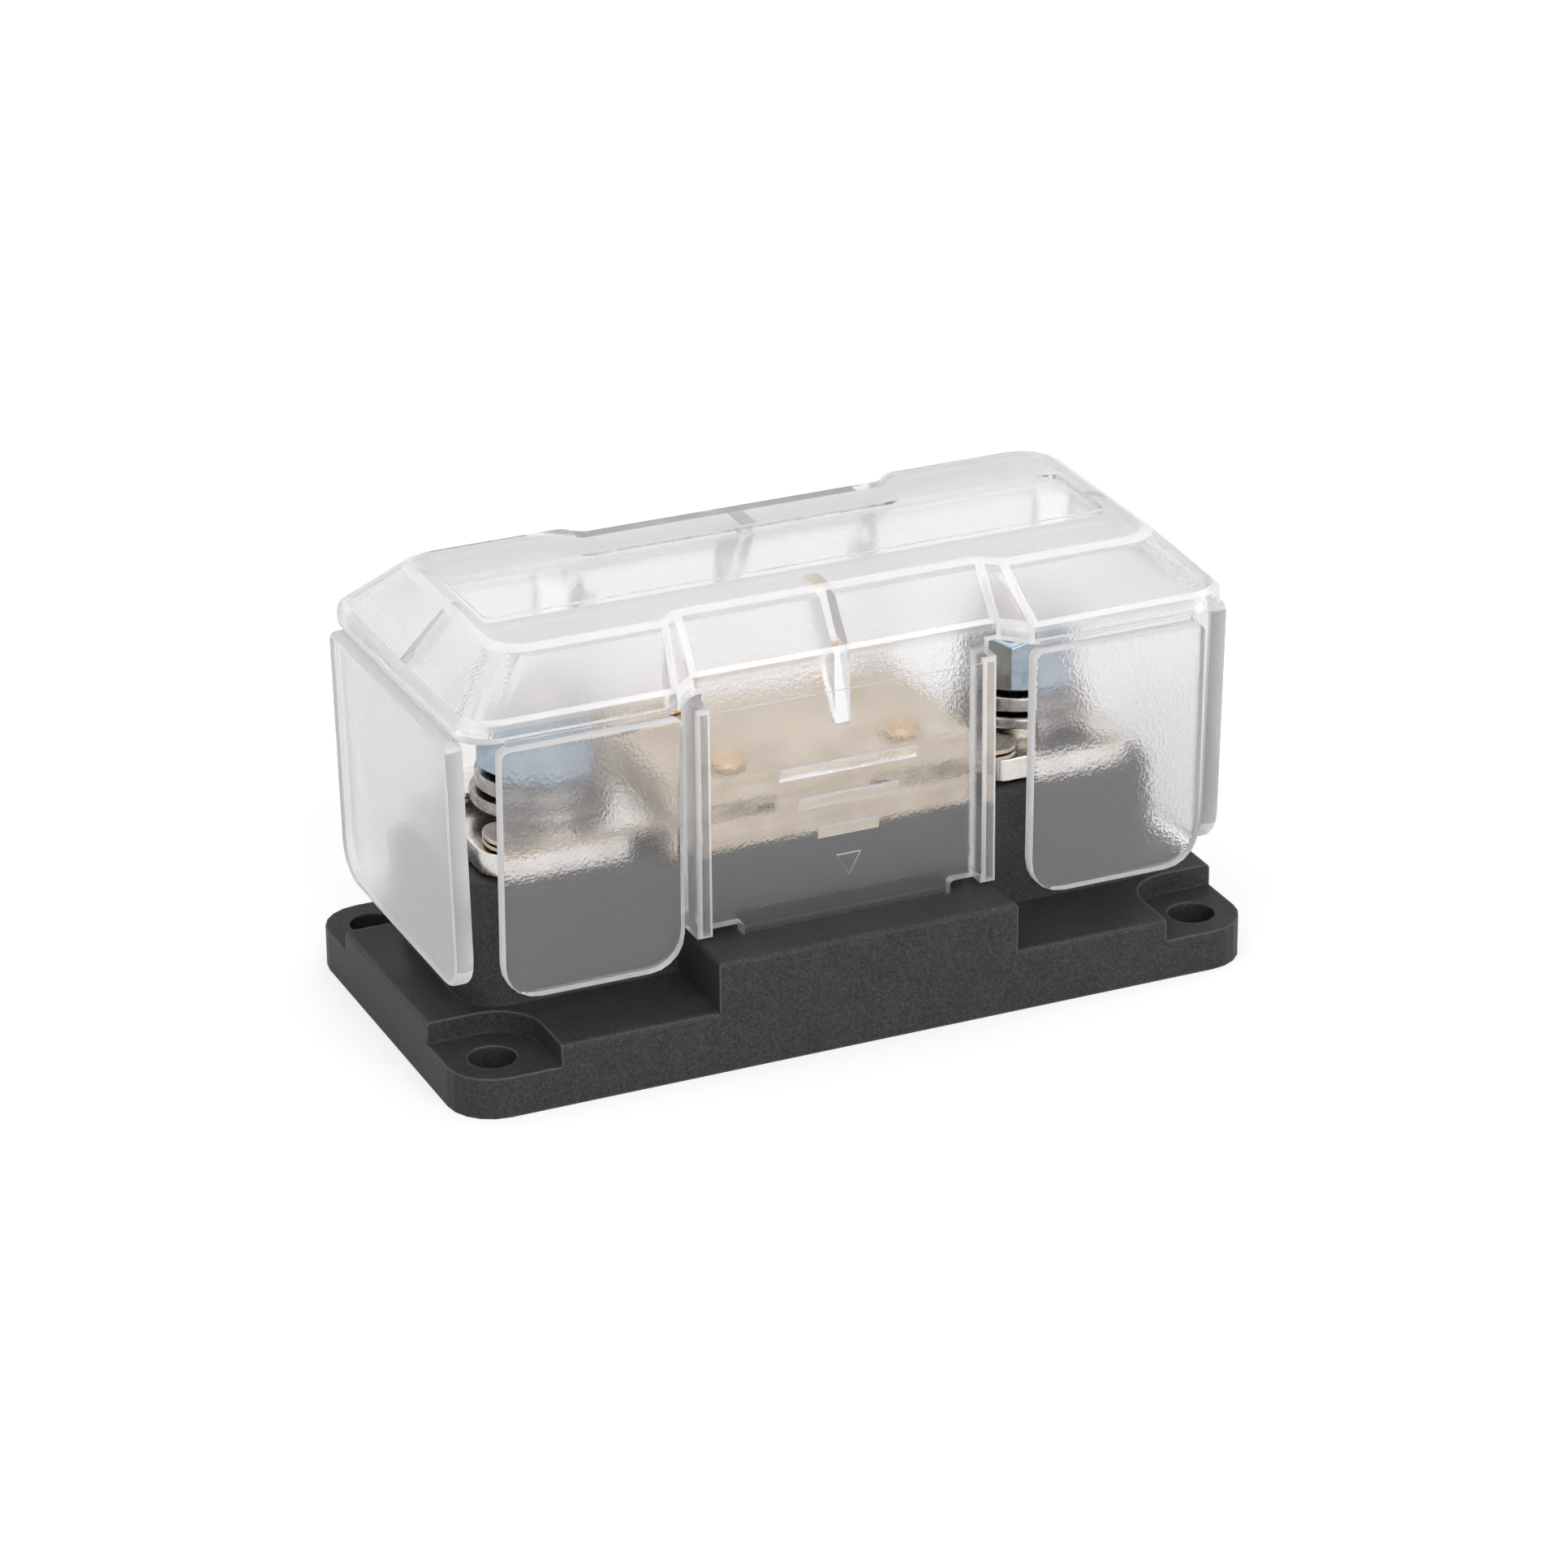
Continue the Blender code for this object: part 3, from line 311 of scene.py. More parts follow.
def sharp_above(piece, degrees):
    """Smooth shading up to an angle, with flat regions kept flat."""
    piece.data.shade_smooth()
    piece.data.set_sharp_from_angle(angle=math.radians(degrees))
    even = piece.modifiers.new("even", "WEIGHTED_NORMAL")
    even.mode = "FACE_AREA"
    even.weight = 100
    even.keep_sharp = True
    make_plain(piece)


def narrowness(mesh, face):
    """A face's area over its longest edge, which is its width where it is a strip."""
    points = [mesh.vertices[place].co for place in face.vertices]
    ends = points[1:] + points[:1]
    return face.area / max((first - second).length for first, second in zip(points, ends))


def soft_strips(piece, wide, degrees):
    """Keep wide faces flat, and shade the narrow strips between them smoothly."""
    mesh = piece.data
    mesh.shade_smooth()
    limit = math.cos(math.radians(degrees))
    broad = [narrowness(mesh, face) > wide for face in mesh.polygons]
    around = {}
    for face in mesh.polygons:
        for vertex in face.vertices:
            around.setdefault(vertex, []).append(face)
    normals = [(0.0, 0.0, 0.0)] * len(mesh.loops)
    for face in mesh.polygons:
        for corner in face.loop_indices:
            near = [
                other for other in around[mesh.loops[corner].vertex_index]
                if other.normal.dot(face.normal) > limit
            ]
            flat = [other for other in near if broad[other.index]]
            if broad[face.index]:
                normals[corner] = face.normal.copy()
            elif flat:
                normals[corner] = max(flat, key=lambda other: other.area).normal.copy()
            else:
                normals[corner] = sum((other.normal for other in near), Vector()).normalized()
    mesh.normals_split_custom_set(normals)


def round_edges(piece, width, segments=2):
    """Round every edge sharper than 40 degrees in the mesh itself."""
    bevel = piece.modifiers.new("edges", "BEVEL")
    bevel.width = width
    bevel.segments = segments
    bevel.limit_method = "ANGLE"
    bevel.angle_limit = math.radians(40.0)
    make_plain(piece)
    sharp_above(piece, 42.0)


def make_plain(piece):
    """Keep what the modifiers make as a plain mesh, and drop the modifiers."""
    graph = bpy.context.evaluated_depsgraph_get()
    done = bpy.data.meshes.new_from_object(piece.evaluated_get(graph), depsgraph=graph)
    done.name = piece.name
    piece.modifiers.clear()
    piece.data = done


def stand_for(piece, body, slot, *nodes):
    """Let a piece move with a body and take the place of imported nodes."""
    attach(piece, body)
    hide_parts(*nodes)


def give(node, material):
    """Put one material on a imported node."""
    shown = frame["nodes"][node]
    for place in shown.material_slots:
        place.material = material
    if not shown.material_slots:
        raise RuntimeError(f"{node} has no material slot")


# Finishes


def moulded_black(colours):
    """Glass-filled black moulding: fine matt grain with pale specks, and a painted highlight along
    its outer edges.
    """
    finish = Finish("moulded_black")
    grain = finish.noise(0.3 * MM, 3.0, 0.6)
    cloud = finish.noise(6.0 * MM, 2.0)
    speck = finish.span(finish.cells(0.5 * MM), 0.05, 0.28, 1.0, 0.0)
    tone = finish.span(grain + cloud * 0.2, 0.35, 0.85, 0.0, 1.0)
    colour = finish.blend(tone, colours.black_low, colours.black_high)
    colour = finish.blend(speck * 0.22, colour, colours.black_speck)
    # Painted highlight: the outer edges are blended towards a paler colour, in place of light
    # caught on their rounding
    colour = finish.blend(finish.outer_edges(0.55 * MM) * 0.7, colour, colours.black_edge_highlight)
    return finish.surface(
        base_color=colour,
        roughness=finish.span(grain, 0.3, 0.7, 0.36, 0.50),
        normal=finish.bumped(grain + speck * 0.25, 0.06 * MM, 0.9, 0.45 * MM),
        specular_ior_level=0.2)


def above_eave(finish, low, high):
    """One value below the cover's eave, and another in the roof above it."""
    return finish.span(finish.height(), EAVE_HEIGHT, EAVE_HEIGHT + EAVE_BLEND, low, high)


def patchy(finish, low, high):
    """A value that drifts between two others in soft patches."""
    return finish.span(finish.noise(0.7 * MM, 1.0, 0.4), 0.3, 0.7, low, high)


def clear_skin(name, colours, roughness, relief, depth, milk, more_milk, roof_milk=0.0):
    """Clear plastic with a little milk in it, which shows more at a slant and in the roof."""
    finish = Finish(name)
    glass = finish.node("ShaderNodeBsdfPrincipled", {}, {
        "Base Color": opaque(colours.cover_tint),
        "Roughness": roughness(finish),
        "IOR": 1.5,
        "Transmission Weight": 1.0,
        "Normal": finish.bumped(relief(finish), depth),
    })
    haze = finish.node("ShaderNodeBsdfDiffuse", {}, {"Color": opaque(colours.milk)})
    slant = finish.node("ShaderNodeLayerWeight", {}, {"Blend": 0.5}, "Facing")
    share = finish.span(slant * slant, 0.0, 1.0, milk, more_milk)
    share = share + 0.04 * (finish.noise(0.36 * MM, 1.0, 0.5) - 0.5)
    if roof_milk:
        share = share + above_eave(finish, 0.0, roof_milk)
    skin = finish.node("ShaderNodeMixShader", {}, {0: share, 1: glass, 2: haze})
    finish.node("ShaderNodeOutputMaterial", {}, {"Surface": skin})
    return finish.material


def clear_outside(colours):
    """Polished outer skin of the cover, faintly uneven."""
    return clear_skin(
        "clear_outside", colours,
        roughness=lambda finish: patchy(finish, 0.06, 0.12),
        relief=lambda finish: (
            finish.noise(5.0 * MM, 2.0, 0.5) + 0.5 * finish.noise(0.42 * MM, 2.0, 0.6)),
        depth=0.015 * MM, milk=0.03, more_milk=0.68, roof_milk=-0.08)


def clear_frosted(colours):
    """Pebbled inner skin of the cover: duller in the roof, with less relief on its ceiling."""
    return clear_skin(
        "clear_frosted", colours,
        roughness=lambda finish: above_eave(finish, 0.17, 0.42),
        relief=lambda finish: finish.noise(0.45 * MM, 2.0, 0.6) * finish.span(
            finish.height(), CEILING_HEIGHT - 1.0 * MM, CEILING_HEIGHT - 0.2 * MM, 0.8, 0.15),
        depth=0.085 * MM, milk=0.025, more_milk=0.5, roof_milk=0.36)


def clear_rims(colours):
    """Rounded edges and thin rims of the cover, which look whiter than its walls."""
    return clear_skin(
        "clear_rims", colours,
        roughness=lambda finish: patchy(finish, 0.14, 0.2),
        relief=lambda finish: finish.noise(3.0 * MM, 1.0, 0.4),
        depth=0.004 * MM, milk=0.42, more_milk=0.7)


def plated(name, dark, pale, low, high, streak):
    """Plated or plain metal with brushed streaks and slight patches.

    Its roughness runs from low to high, and streak scales the grain along each axis.
    """
    finish = Finish(name)
    lines = finish.noise(0.5 * MM, 3.0, 0.6, where=finish.stretched(streak))
    cloud = finish.noise(3.0 * MM, 3.0, 0.6)
    tone = finish.span(cloud * 0.7 + lines * 0.3, 0.35, 0.65, 0.0, 1.0)
    return finish.surface(
        base_color=finish.blend(tone, dark, pale),
        metallic=1.0,
        roughness=finish.span(lines + cloud, 0.6, 1.4, low, high),
        normal=finish.bumped(lines, 0.01 * MM, 0.5))


def laminate_board(colours):
    """Tan glass-cloth laminate: a faint weave on its faces and layers along its edges."""
    finish = Finish("laminate_board")
    weave = finish.node("ShaderNodeTexWave", {"bands_direction": "X"}, {
        "Vector": finish.place(), "Scale": 90.0,
        "Distortion": 0.6, "Detail": 1.0, "Detail Scale": 60.0})
    layers = finish.noise(0.9 * MM, 2.0, 0.6, where=finish.stretched((0.12, 0.12, 2.4)))
    cloud = finish.noise(5.0 * MM, 3.0, 0.6)
    tone = finish.span(cloud * 0.4 + layers * 0.6, 0.36, 0.64, 0.0, 1.0)
    return finish.surface(
        base_color=finish.blend(tone, colours.laminate_low, colours.laminate_high),
        roughness=finish.span(layers, 0.3, 0.7, 0.45, 0.62),
        normal=finish.bumped(layers + weave * 0.15, 0.05 * MM, 0.6, 0.2 * MM))


# Settings


class HolderSizes(bpy.types.PropertyGroup):
    """Sizes of the small detail."""

    thread_pitch: FloatProperty(
        name="Thread pitch", description="Rise of the stud thread in one turn",
        default=1.25 * MM, min=0.2 * MM, unit="LENGTH")
    thread_depth: FloatProperty(
        name="Thread depth", description="How deep the stud thread is cut",
        default=0.6 * MM, min=0.05 * MM, unit="LENGTH")
    metal_edge: FloatProperty(
        name="Metal edge", description="Rounding of the plates' and washers' edges",
        default=0.22 * MM, min=0.0, unit="LENGTH")
    nut_edge: FloatProperty(
        name="Nut edge", description="Rounding of the nuts' edges",
        default=0.18 * MM, min=0.0, unit="LENGTH")
    rivet_segments: IntProperty(
        name="Rivet segments", description="Sides of each round rivet", default=28, min=8)


def colour_setting(name, description, default):
    """One colour in a group of settings."""
    return FloatVectorProperty(
        name=name, description=description, default=default,
        size=3, min=0.0, max=1.0, subtype="COLOR")


class HolderColours(bpy.types.PropertyGroup):
    """Colours of the finishes."""

    black_low: colour_setting("Black, low", "Darker grains of the base", (0.017, 0.016, 0.017))
    black_high: colour_setting("Black, high", "Paler grains of the base", (0.056, 0.053, 0.056))
    black_speck: colour_setting("Black, specks", "Glass specks of the base", (0.20, 0.19, 0.20))
    # Painted highlight: the paler colour laid along the base's outer edges
    black_edge_highlight: colour_setting("Black, edge highlight", "Painted highlight along the base's edges", (0.15, 0.142, 0.15))
    cover_tint: colour_setting("Cover tint", "Tint of the clear cover", (0.985, 0.978, 0.985))
    milk: colour_setting("Milk", "Haze inside the clear cover", (0.93, 0.92, 0.93))
    zinc_low: colour_setting("Zinc, low", "Darker patches of the zinc plate", (0.29, 0.35, 0.40))
    zinc_high: colour_setting("Zinc, high", "Paler patches of the zinc plate", (0.46, 0.53, 0.59))
    steel_low: colour_setting("Steel, low", "Darker patches of the washers", (0.20, 0.19, 0.18))
    steel_high: colour_setting("Steel, high", "Paler patches of the washers", (0.48, 0.46, 0.44))
    tin_low: colour_setting("Tin, low", "Darker patches of the tin plate", (0.70, 0.66, 0.61))
    tin_high: colour_setting("Tin, high", "Paler patches of the tin plate", (0.88, 0.86, 0.82))
    cut_low: colour_setting("Cut edge, low", "Darker copper of the cut edges", (0.42, 0.29, 0.18))
    cut_high: colour_setting("Cut edge, high", "Paler copper of the cut edges", (0.78, 0.66, 0.52))
    laminate_low: colour_setting("Laminate, low", "Darker layers of the boards", (0.55, 0.45, 0.32))
    laminate_high: colour_setting(
        "Laminate, high", "Paler layers of the boards", (0.79, 0.70, 0.56))
    copper_low: colour_setting("Copper, low", "Darker patches of the rivets", (0.56, 0.39, 0.23))
    copper_high: colour_setting("Copper, high", "Paler patches of the rivets", (0.78, 0.57, 0.36))


# Node-built pieces


class Shaper:
    """A geometry tree built one node at a time, with named inputs."""

    def __init__(self, name, inputs):
        self.tree = bpy.data.node_groups.new(name, "GeometryNodeTree")
        self.ids = {}
        for label, kind, default in inputs:
            item = self.tree.interface.new_socket(label, in_out="INPUT", socket_type=kind)
            item.default_value = default
            self.ids[label] = item.identifier
        self.tree.interface.new_socket(
            "Geometry", in_out="OUTPUT", socket_type="NodeSocketGeometry")
        self.entry = self.tree.nodes.new("NodeGroupInput")

    def size(self, label):
        """The value given to a named input."""
        return self.entry.outputs[label]

    def node(self, kind, settings=None, sockets=None, out=0):
        """Add a node, and return one of its outputs."""
        made = self.tree.nodes.new(kind)
        for key, value in (settings or {}).items():
            setattr(made, key, value)
        for key, value in (sockets or {}).items():
            if isinstance(value, bpy.types.NodeSocket):
                self.tree.links.new(value, made.inputs[key])
            else:
                made.inputs[key].default_value = value
        return made.outputs[out]

    def maths(self, operation, first, second):
        """One operation on two values."""
        return self.node("ShaderNodeMath", {"operation": operation}, {0: first, 1: second})

    def vector(self, x, y, z):
        """Three values as one vector."""
        return self.node("ShaderNodeCombineXYZ", {}, {"X": x, "Y": y, "Z": z})

    def moved(self, geometry, x, z):
        """Geometry shifted along the holder and upwards."""
        return self.node("GeometryNodeTransform", {}, {
            "Geometry": geometry, "Translation": self.vector(x, 0.0, z)})

    def joined(self, *parts):
        """Several geometries as one."""
        whole = self.node("GeometryNodeJoinGeometry")
        for part in parts:
            self.tree.links.new(part, whole.node.inputs[0])
        return whole

    def swept(self, path, profile, caps):
        """A profile led along a level path, without twisting."""
        level = self.node("GeometryNodeSetCurveNormal", {"mode": "Z_UP"}, {"Curve": path})
        return self.node("GeometryNodeCurveToMesh", {}, {
            "Curve": level, "Profile Curve": profile, "Fill Caps": caps})

    def close(self, geometry, material):
        """Realise everything, give it its material and end the tree."""
        whole = self.node("GeometryNodeRealizeInstances", {}, {0: geometry})
        done = self.node("GeometryNodeSetMaterial", {}, {"Geometry": whole, "Material": material})
        leave = self.tree.nodes.new("NodeGroupOutput")
        self.tree.links.new(done, leave.inputs[0])

    def make(self, name, values):
        """Run the tree on an empty mesh and keep the result as a plain mesh."""
        piece = bpy.data.objects.new(name, bpy.data.meshes.new(name))
        bpy.context.scene.collection.objects.link(piece)
        shaper = piece.modifiers.new("shape", "NODES")
        shaper.node_group = self.tree
        for label, value in values.items():
            shaper[self.ids[label]] = value
        make_plain(piece)
        if not piece.data.polygons:
            raise RuntimeError(f"{name} came out empty")
        return piece


def thread_tree(material):
    """A ridge wound up a plain core and ending short of both its ends."""
    tree = Shaper("stud_thread", [
        ("Radius", "NodeSocketFloat", 4.0 * MM),
        ("Depth", "NodeSocketFloat", 0.6 * MM),
        ("Pitch", "NodeSocketFloat", 1.25 * MM),
        ("Bottom", "NodeSocketFloat", 0.0),
        ("Top", "NodeSocketFloat", 10.0 * MM),
        ("Along", "NodeSocketFloat", 0.0),
    ])
    radius, depth, pitch = tree.size("Radius"), tree.size("Depth"), tree.size("Pitch")
    bottom, top = tree.size("Bottom"), tree.size("Top")
    height = tree.maths("SUBTRACT", top, bottom)
    core_radius = tree.maths("SUBTRACT", radius, depth)
    run = tree.maths("SUBTRACT", height, tree.maths("MULTIPLY", pitch, PLAIN_TURNS))
    turns = tree.maths("DIVIDE", run, pitch)
    ridge_radius = tree.maths("MULTIPLY", depth, RIDGE_SHARE)
    middle = tree.maths("SUBTRACT", radius, ridge_radius)
    spiral = tree.node("GeometryNodeCurveSpiral", {}, {
        "Resolution": 30, "Rotations": turns,
        "Start Radius": middle, "End Radius": middle, "Height": run})
    ridge = tree.node("GeometryNodeCurvePrimitiveCircle", {"mode": "RADIUS"}, {
        "Resolution": 6, "Radius": ridge_radius}, "Curve")
    start = tree.maths("MULTIPLY", pitch, PLAIN_TURNS_BELOW)
    wound = tree.moved(tree.swept(spiral, ridge, True), 0.0, start)
    core = tree.node("GeometryNodeMeshCylinder", {}, {
        "Vertices": 40, "Radius": core_radius, "Depth": height}, "Mesh")
    core = tree.moved(core, 0.0, tree.maths("MULTIPLY", height, 0.5))
    tree.close(tree.moved(tree.joined(wound, core), tree.size("Along"), bottom), material)
    return tree


def coil_tree(material):
    """A flat-sided ring that climbs a little and stays open at its split."""
    tree = Shaper("split_coil", [
        ("Radius", "NodeSocketFloat", 6.0 * MM),
        ("Width", "NodeSocketFloat", 3.0 * MM),
        ("Height", "NodeSocketFloat", 1.9 * MM),
        ("Rise", "NodeSocketFloat", 0.3 * MM),
        ("Turns", "NodeSocketFloat", 0.96),
        ("Along", "NodeSocketFloat", 0.0),
        ("Bottom", "NodeSocketFloat", 0.0),
    ])
    radius, height = tree.size("Radius"), tree.size("Height")
    spiral = tree.node("GeometryNodeCurveSpiral", {}, {
        "Resolution": 72, "Rotations": tree.size("Turns"), "Start Radius": radius,
        "End Radius": radius, "Height": tree.size("Rise")})
    bar = tree.node("GeometryNodeCurvePrimitiveQuadrilateral", {}, {
        "Width": tree.size("Width"), "Height": height})
    bar = tree.node("GeometryNodeFilletCurve", {"mode": "POLY"}, {
        "Curve": bar, "Radius": tree.maths("MULTIPLY", height, COIL_CORNER_SHARE), "Count": 3})
    middle = tree.maths("ADD", tree.size("Bottom"), tree.maths("MULTIPLY", height, 0.5))
    tree.close(tree.moved(tree.swept(spiral, bar, True), tree.size("Along"), middle), material)
    return tree


def rivet_tree(material):
    """A flared tubular rivet head set at the four corners of a rectangle."""
    tree = Shaper("rivet_heads", [
        ("Spacing X", "NodeSocketFloat", 20.0 * MM),
        ("Spacing Y", "NodeSocketFloat", 16.0 * MM),
        ("Radius", "NodeSocketFloat", 2.3 * MM),
        ("Bore", "NodeSocketFloat", 1.0 * MM),
        ("Height", "NodeSocketFloat", 0.9 * MM),
        ("Bottom", "NodeSocketFloat", 0.0),
        ("Segments", "NodeSocketInt", 28),
    ])
    radius, bore, height = tree.size("Radius"), tree.size("Bore"), tree.size("Height")
    corners = tree.node("GeometryNodeMeshGrid", {}, {
        "Size X": tree.size("Spacing X"), "Size Y": tree.size("Spacing Y"),
        "Vertices X": 2, "Vertices Y": 2}, "Mesh")
    thickness = tree.maths("MULTIPLY", tree.maths("SUBTRACT", radius, bore), 0.5)
    middle = tree.maths("ADD", bore, thickness)
    path = tree.node("GeometryNodeCurvePrimitiveCircle", {"mode": "RADIUS"}, {
        "Resolution": tree.size("Segments"), "Radius": middle}, "Curve")
    lip = tree.node("GeometryNodeCurvePrimitiveCircle", {"mode": "RADIUS"}, {
        "Resolution": 10, "Radius": thickness}, "Curve")
    flat = tree.maths("DIVIDE", height, tree.maths("MULTIPLY", thickness, 2.0))
    head = tree.node("GeometryNodeTransform", {}, {
        "Geometry": tree.swept(path, lip, False), "Scale": tree.vector(1.0, 1.0, flat)})
    floor_radius = tree.maths("ADD", bore, tree.maths("MULTIPLY", thickness, RIVET_FLOOR_REACH))
    floor = tree.node("GeometryNodeMeshCylinder", {}, {
        "Vertices": tree.size("Segments"), "Radius": floor_radius,
        "Depth": tree.maths("MULTIPLY", height, RIVET_FLOOR_HEIGHT)}, "Mesh")
    four = tree.node("GeometryNodeInstanceOnPoints", {}, {
        "Points": corners, "Instance": tree.joined(head, floor)})
    lift = tree.maths("ADD", tree.size("Bottom"), tree.maths("MULTIPLY", height, 0.5))
    tree.close(tree.moved(four, 0.0, lift), material)
    return tree


# Operators


def settings():
    """The sizes and the colours that the scene holds."""
    return bpy.context.scene.holder_sizes, bpy.context.scene.holder_colours


class HOLDER_OT_base(bpy.types.Operator):
    """Give the base its grained black moulding"""

    bl_idname = "holder.dress_base"
    bl_label = "Base"

    def execute(self, context):
        _, colours = settings()
        give("base", moulded_black(colours))
        return {"FINISHED"}


def on_gusset(along, across, normal):
    """Whether a face is a side of one of the thin webs inside the roof."""
    in_the_middle = (
        abs(normal.x) > SIDEWAYS and abs(along) < GUSSET_HALF_WIDTH and abs(across) < GUSSET_REACH)
    at_an_end = abs(normal.y) > SIDEWAYS and abs(across) < GUSSET_HALF_WIDTH
    return in_the_middle or at_an_end


def faces_inwards(place, normal, low, high):
    """Whether a face of the cover looks into its hollow."""
    across = place.y - (low.y + high.y) / 2
    along = place.x - (low.x + high.x) / 2
    if place.z > high.z - POLISHED_TOP:
        return False
    if normal.z < -LEANING and place.z > high.z - INNER_ROOF_DEPTH:
        return not (abs(along) < WINDOW_HALF_X and abs(across) < WINDOW_HALF_Y)
    if abs(normal.z) > LEANING:
        return False
    if on_gusset(along, across, normal):
        return True
    if abs(normal.y) > abs(normal.x):
        return normal.y * across < 0.0
    return normal.x * along < 0.0


def split_ceiling(cover):
    """Cut the ceiling along the window's outline, so the window can stay polished."""
    work = bmesh.new()
    work.from_mesh(cover.data)
    for axis, reach in ((0, WINDOW_HALF_X), (1, WINDOW_HALF_Y)):
        for side in (-1, 1):
            across = Vector((0.0, 0.0, 0.0))
            across[axis] = 1.0
            faces = [
                face for face in work.faces
                if face.normal.z < -STRAIGHT
                and abs(face.calc_center_median().z - CEILING_HEIGHT) < CEILING_TOLERANCE
            ]
            edges = {edge for face in faces for edge in face.edges}
            verts = {vert for face in faces for vert in face.verts}
            bmesh.ops.bisect_plane(
                work, geom=[*verts, *edges, *faces],
                plane_co=across * (side * reach), plane_no=across)
    work.to_mesh(cover.data)
    work.free()


def is_rim(mesh, face, top):
    """Whether a face is a narrow strip that isn't by the window and doesn't face front or rear."""
    place = face.center
    by_window = (
        place.z > top - WINDOW_EDGE_DEPTH
        and abs(place.x) < WINDOW_HALF_X + WINDOW_MARGIN
        and abs(place.y) < WINDOW_HALF_Y + WINDOW_MARGIN)
    return (
        narrowness(mesh, face) < RIM_WIDTH
        and abs(face.normal.y) < STRAIGHT
        and not by_window)


class HOLDER_OT_cover(bpy.types.Operator):
    """Give the clear cover a polished outside, a frosted inside and milky rims"""

    bl_idname = "holder.frost_cover"
    bl_label = "Clear cover"

    def execute(self, context):
        _, colours = settings()
        cover = own_copy("cover", "clear_cover")
        skins = (clear_outside, clear_frosted, clear_rims)
        for skin in skins:
            cover.data.materials.append(skin(colours))
        low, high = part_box("cover")
        split_ceiling(cover)
        for face in cover.data.polygons:
            if is_rim(cover.data, face, high.z):
                skin = clear_rims
            elif faces_inwards(face.center, face.normal, low, high):
                skin = clear_frosted
            else:
                skin = clear_outside
            face.material_index = skins.index(skin)
        soft_strips(cover, FLAT_WIDTH, 40.0)
        stand_for(cover, "cover", "clear_plastic", "cover")
        return {"FINISHED"}


def two_finishes(piece, flat, side):
    """Flat faces take one material and upright cut edges another."""
    piece.data.materials.append(flat)
    piece.data.materials.append(side)
    for face in piece.data.polygons:
        face.material_index = int(abs(face.normal.z) < 0.5)


class HOLDER_OT_terminals(bpy.types.Operator):
    """Finish the terminal plates, washers and nuts"""

    bl_idname = "holder.finish_terminals"
    bl_label = "Terminals"

    def execute(self, context):
        sizes, colours = settings()
        tin = plated("tin_plate", colours.tin_low, colours.tin_high, 0.16, 0.34, (1, 6, 1))
        steel = plated(
            "washer_steel", colours.steel_low, colours.steel_high, 0.16, 0.34, (0.4, 0.4, 5))
        zinc = plated("zinc_plate", colours.zinc_low, colours.zinc_high, 0.14, 0.30, (1, 1, 5))
        coil = coil_tree(steel)
        for side in SIDES:
            for part, name, body, slot, finish, edge in (
                    ("terminal_plate", "plate", "holder", "tinned_copper", tin, sizes.metal_edge),
                    ("flat_washer", "washer", "holder", "washer_steel", steel, sizes.metal_edge),
                    ("nut", "hex_nut", f"{side}_nut", "bright_zinc", zinc, sizes.nut_edge)):
                piece = own_copy(f"{side}_{part}", f"{side}_{name}")
                piece.data.materials.append(finish)
                round_edges(piece, edge)
                stand_for(piece, body, slot, f"{side}_{part}")
            self.wind_coil(coil, side)
        return {"FINISHED"}

    def wind_coil(self, coil, side):
        """The spring washer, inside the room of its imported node."""
        low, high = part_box(f"{side}_spring_washer")
        outer = (high.x - low.x) / 2
        made = coil.make(f"{side}_coil", {
            "Radius": (outer + COIL_BORE) / 2,
            "Width": outer - COIL_BORE,
            "Height": high.z - low.z - COIL_RISE,
            "Rise": COIL_RISE,
            "Turns": COIL_TURNS,
            "Along": (low.x + high.x) / 2,
            "Bottom": low.z,
        })
        sharp_above(made, 35.0)
        stand_for(made, f"{side}_clamp", "washer_steel", f"{side}_spring_washer")


class HOLDER_OT_studs(bpy.types.Operator):
    """Wind a thread up each stud and keep its head as packed"""

    bl_idname = "holder.thread_studs"
    bl_label = "Stud threads"

    def execute(self, context):
        sizes, colours = settings()
        tin = plated("stud_tin", colours.tin_low, colours.tin_high, 0.18, 0.34, (1, 1, 1))
        thread = thread_tree(tin)
        for side in SIDES:
            low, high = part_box(f"{side}_stud")
            shoulder = low.z + STUD_HEAD_HEIGHT
            stud = thread.make(f"{side}_thread", {
                "Radius": STUD_RADIUS,
                "Depth": sizes.thread_depth,
                "Pitch": sizes.thread_pitch,
                "Bottom": shoulder,
                "Top": high.z,
                "Along": (low.x + high.x) / 2,
            })
            sharp_above(stud, 35.0)
            head = self.head_of(side, shoulder + HEAD_OVERLAP)
            head.data.materials.append(tin)
            join_meshes(stud, head)
            stand_for(stud, "holder", "bright_zinc", f"{side}_stud")
        return {"FINISHED"}

    def head_of(self, side, top):
        """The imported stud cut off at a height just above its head."""
        head = own_copy(f"{side}_stud", f"{side}_head")
        work = bmesh.new()
        work.from_mesh(head.data)
        bmesh.ops.bisect_plane(
            work, geom=[*work.verts, *work.edges, *work.faces],
            plane_co=(0, 0, top), plane_no=(0, 0, 1), clear_outer=True)
        bmesh.ops.holes_fill(work, edges=work.edges)
        work.to_mesh(head.data)
        work.free()
        return head


def join_meshes(kept, added):
    """Put the second piece's mesh into the first's, and remove the second piece."""
    work = bmesh.new()
    work.from_mesh(kept.data)
    work.from_mesh(added.data)
    work.to_mesh(kept.data)
    work.free()
    bpy.data.objects.remove(added)


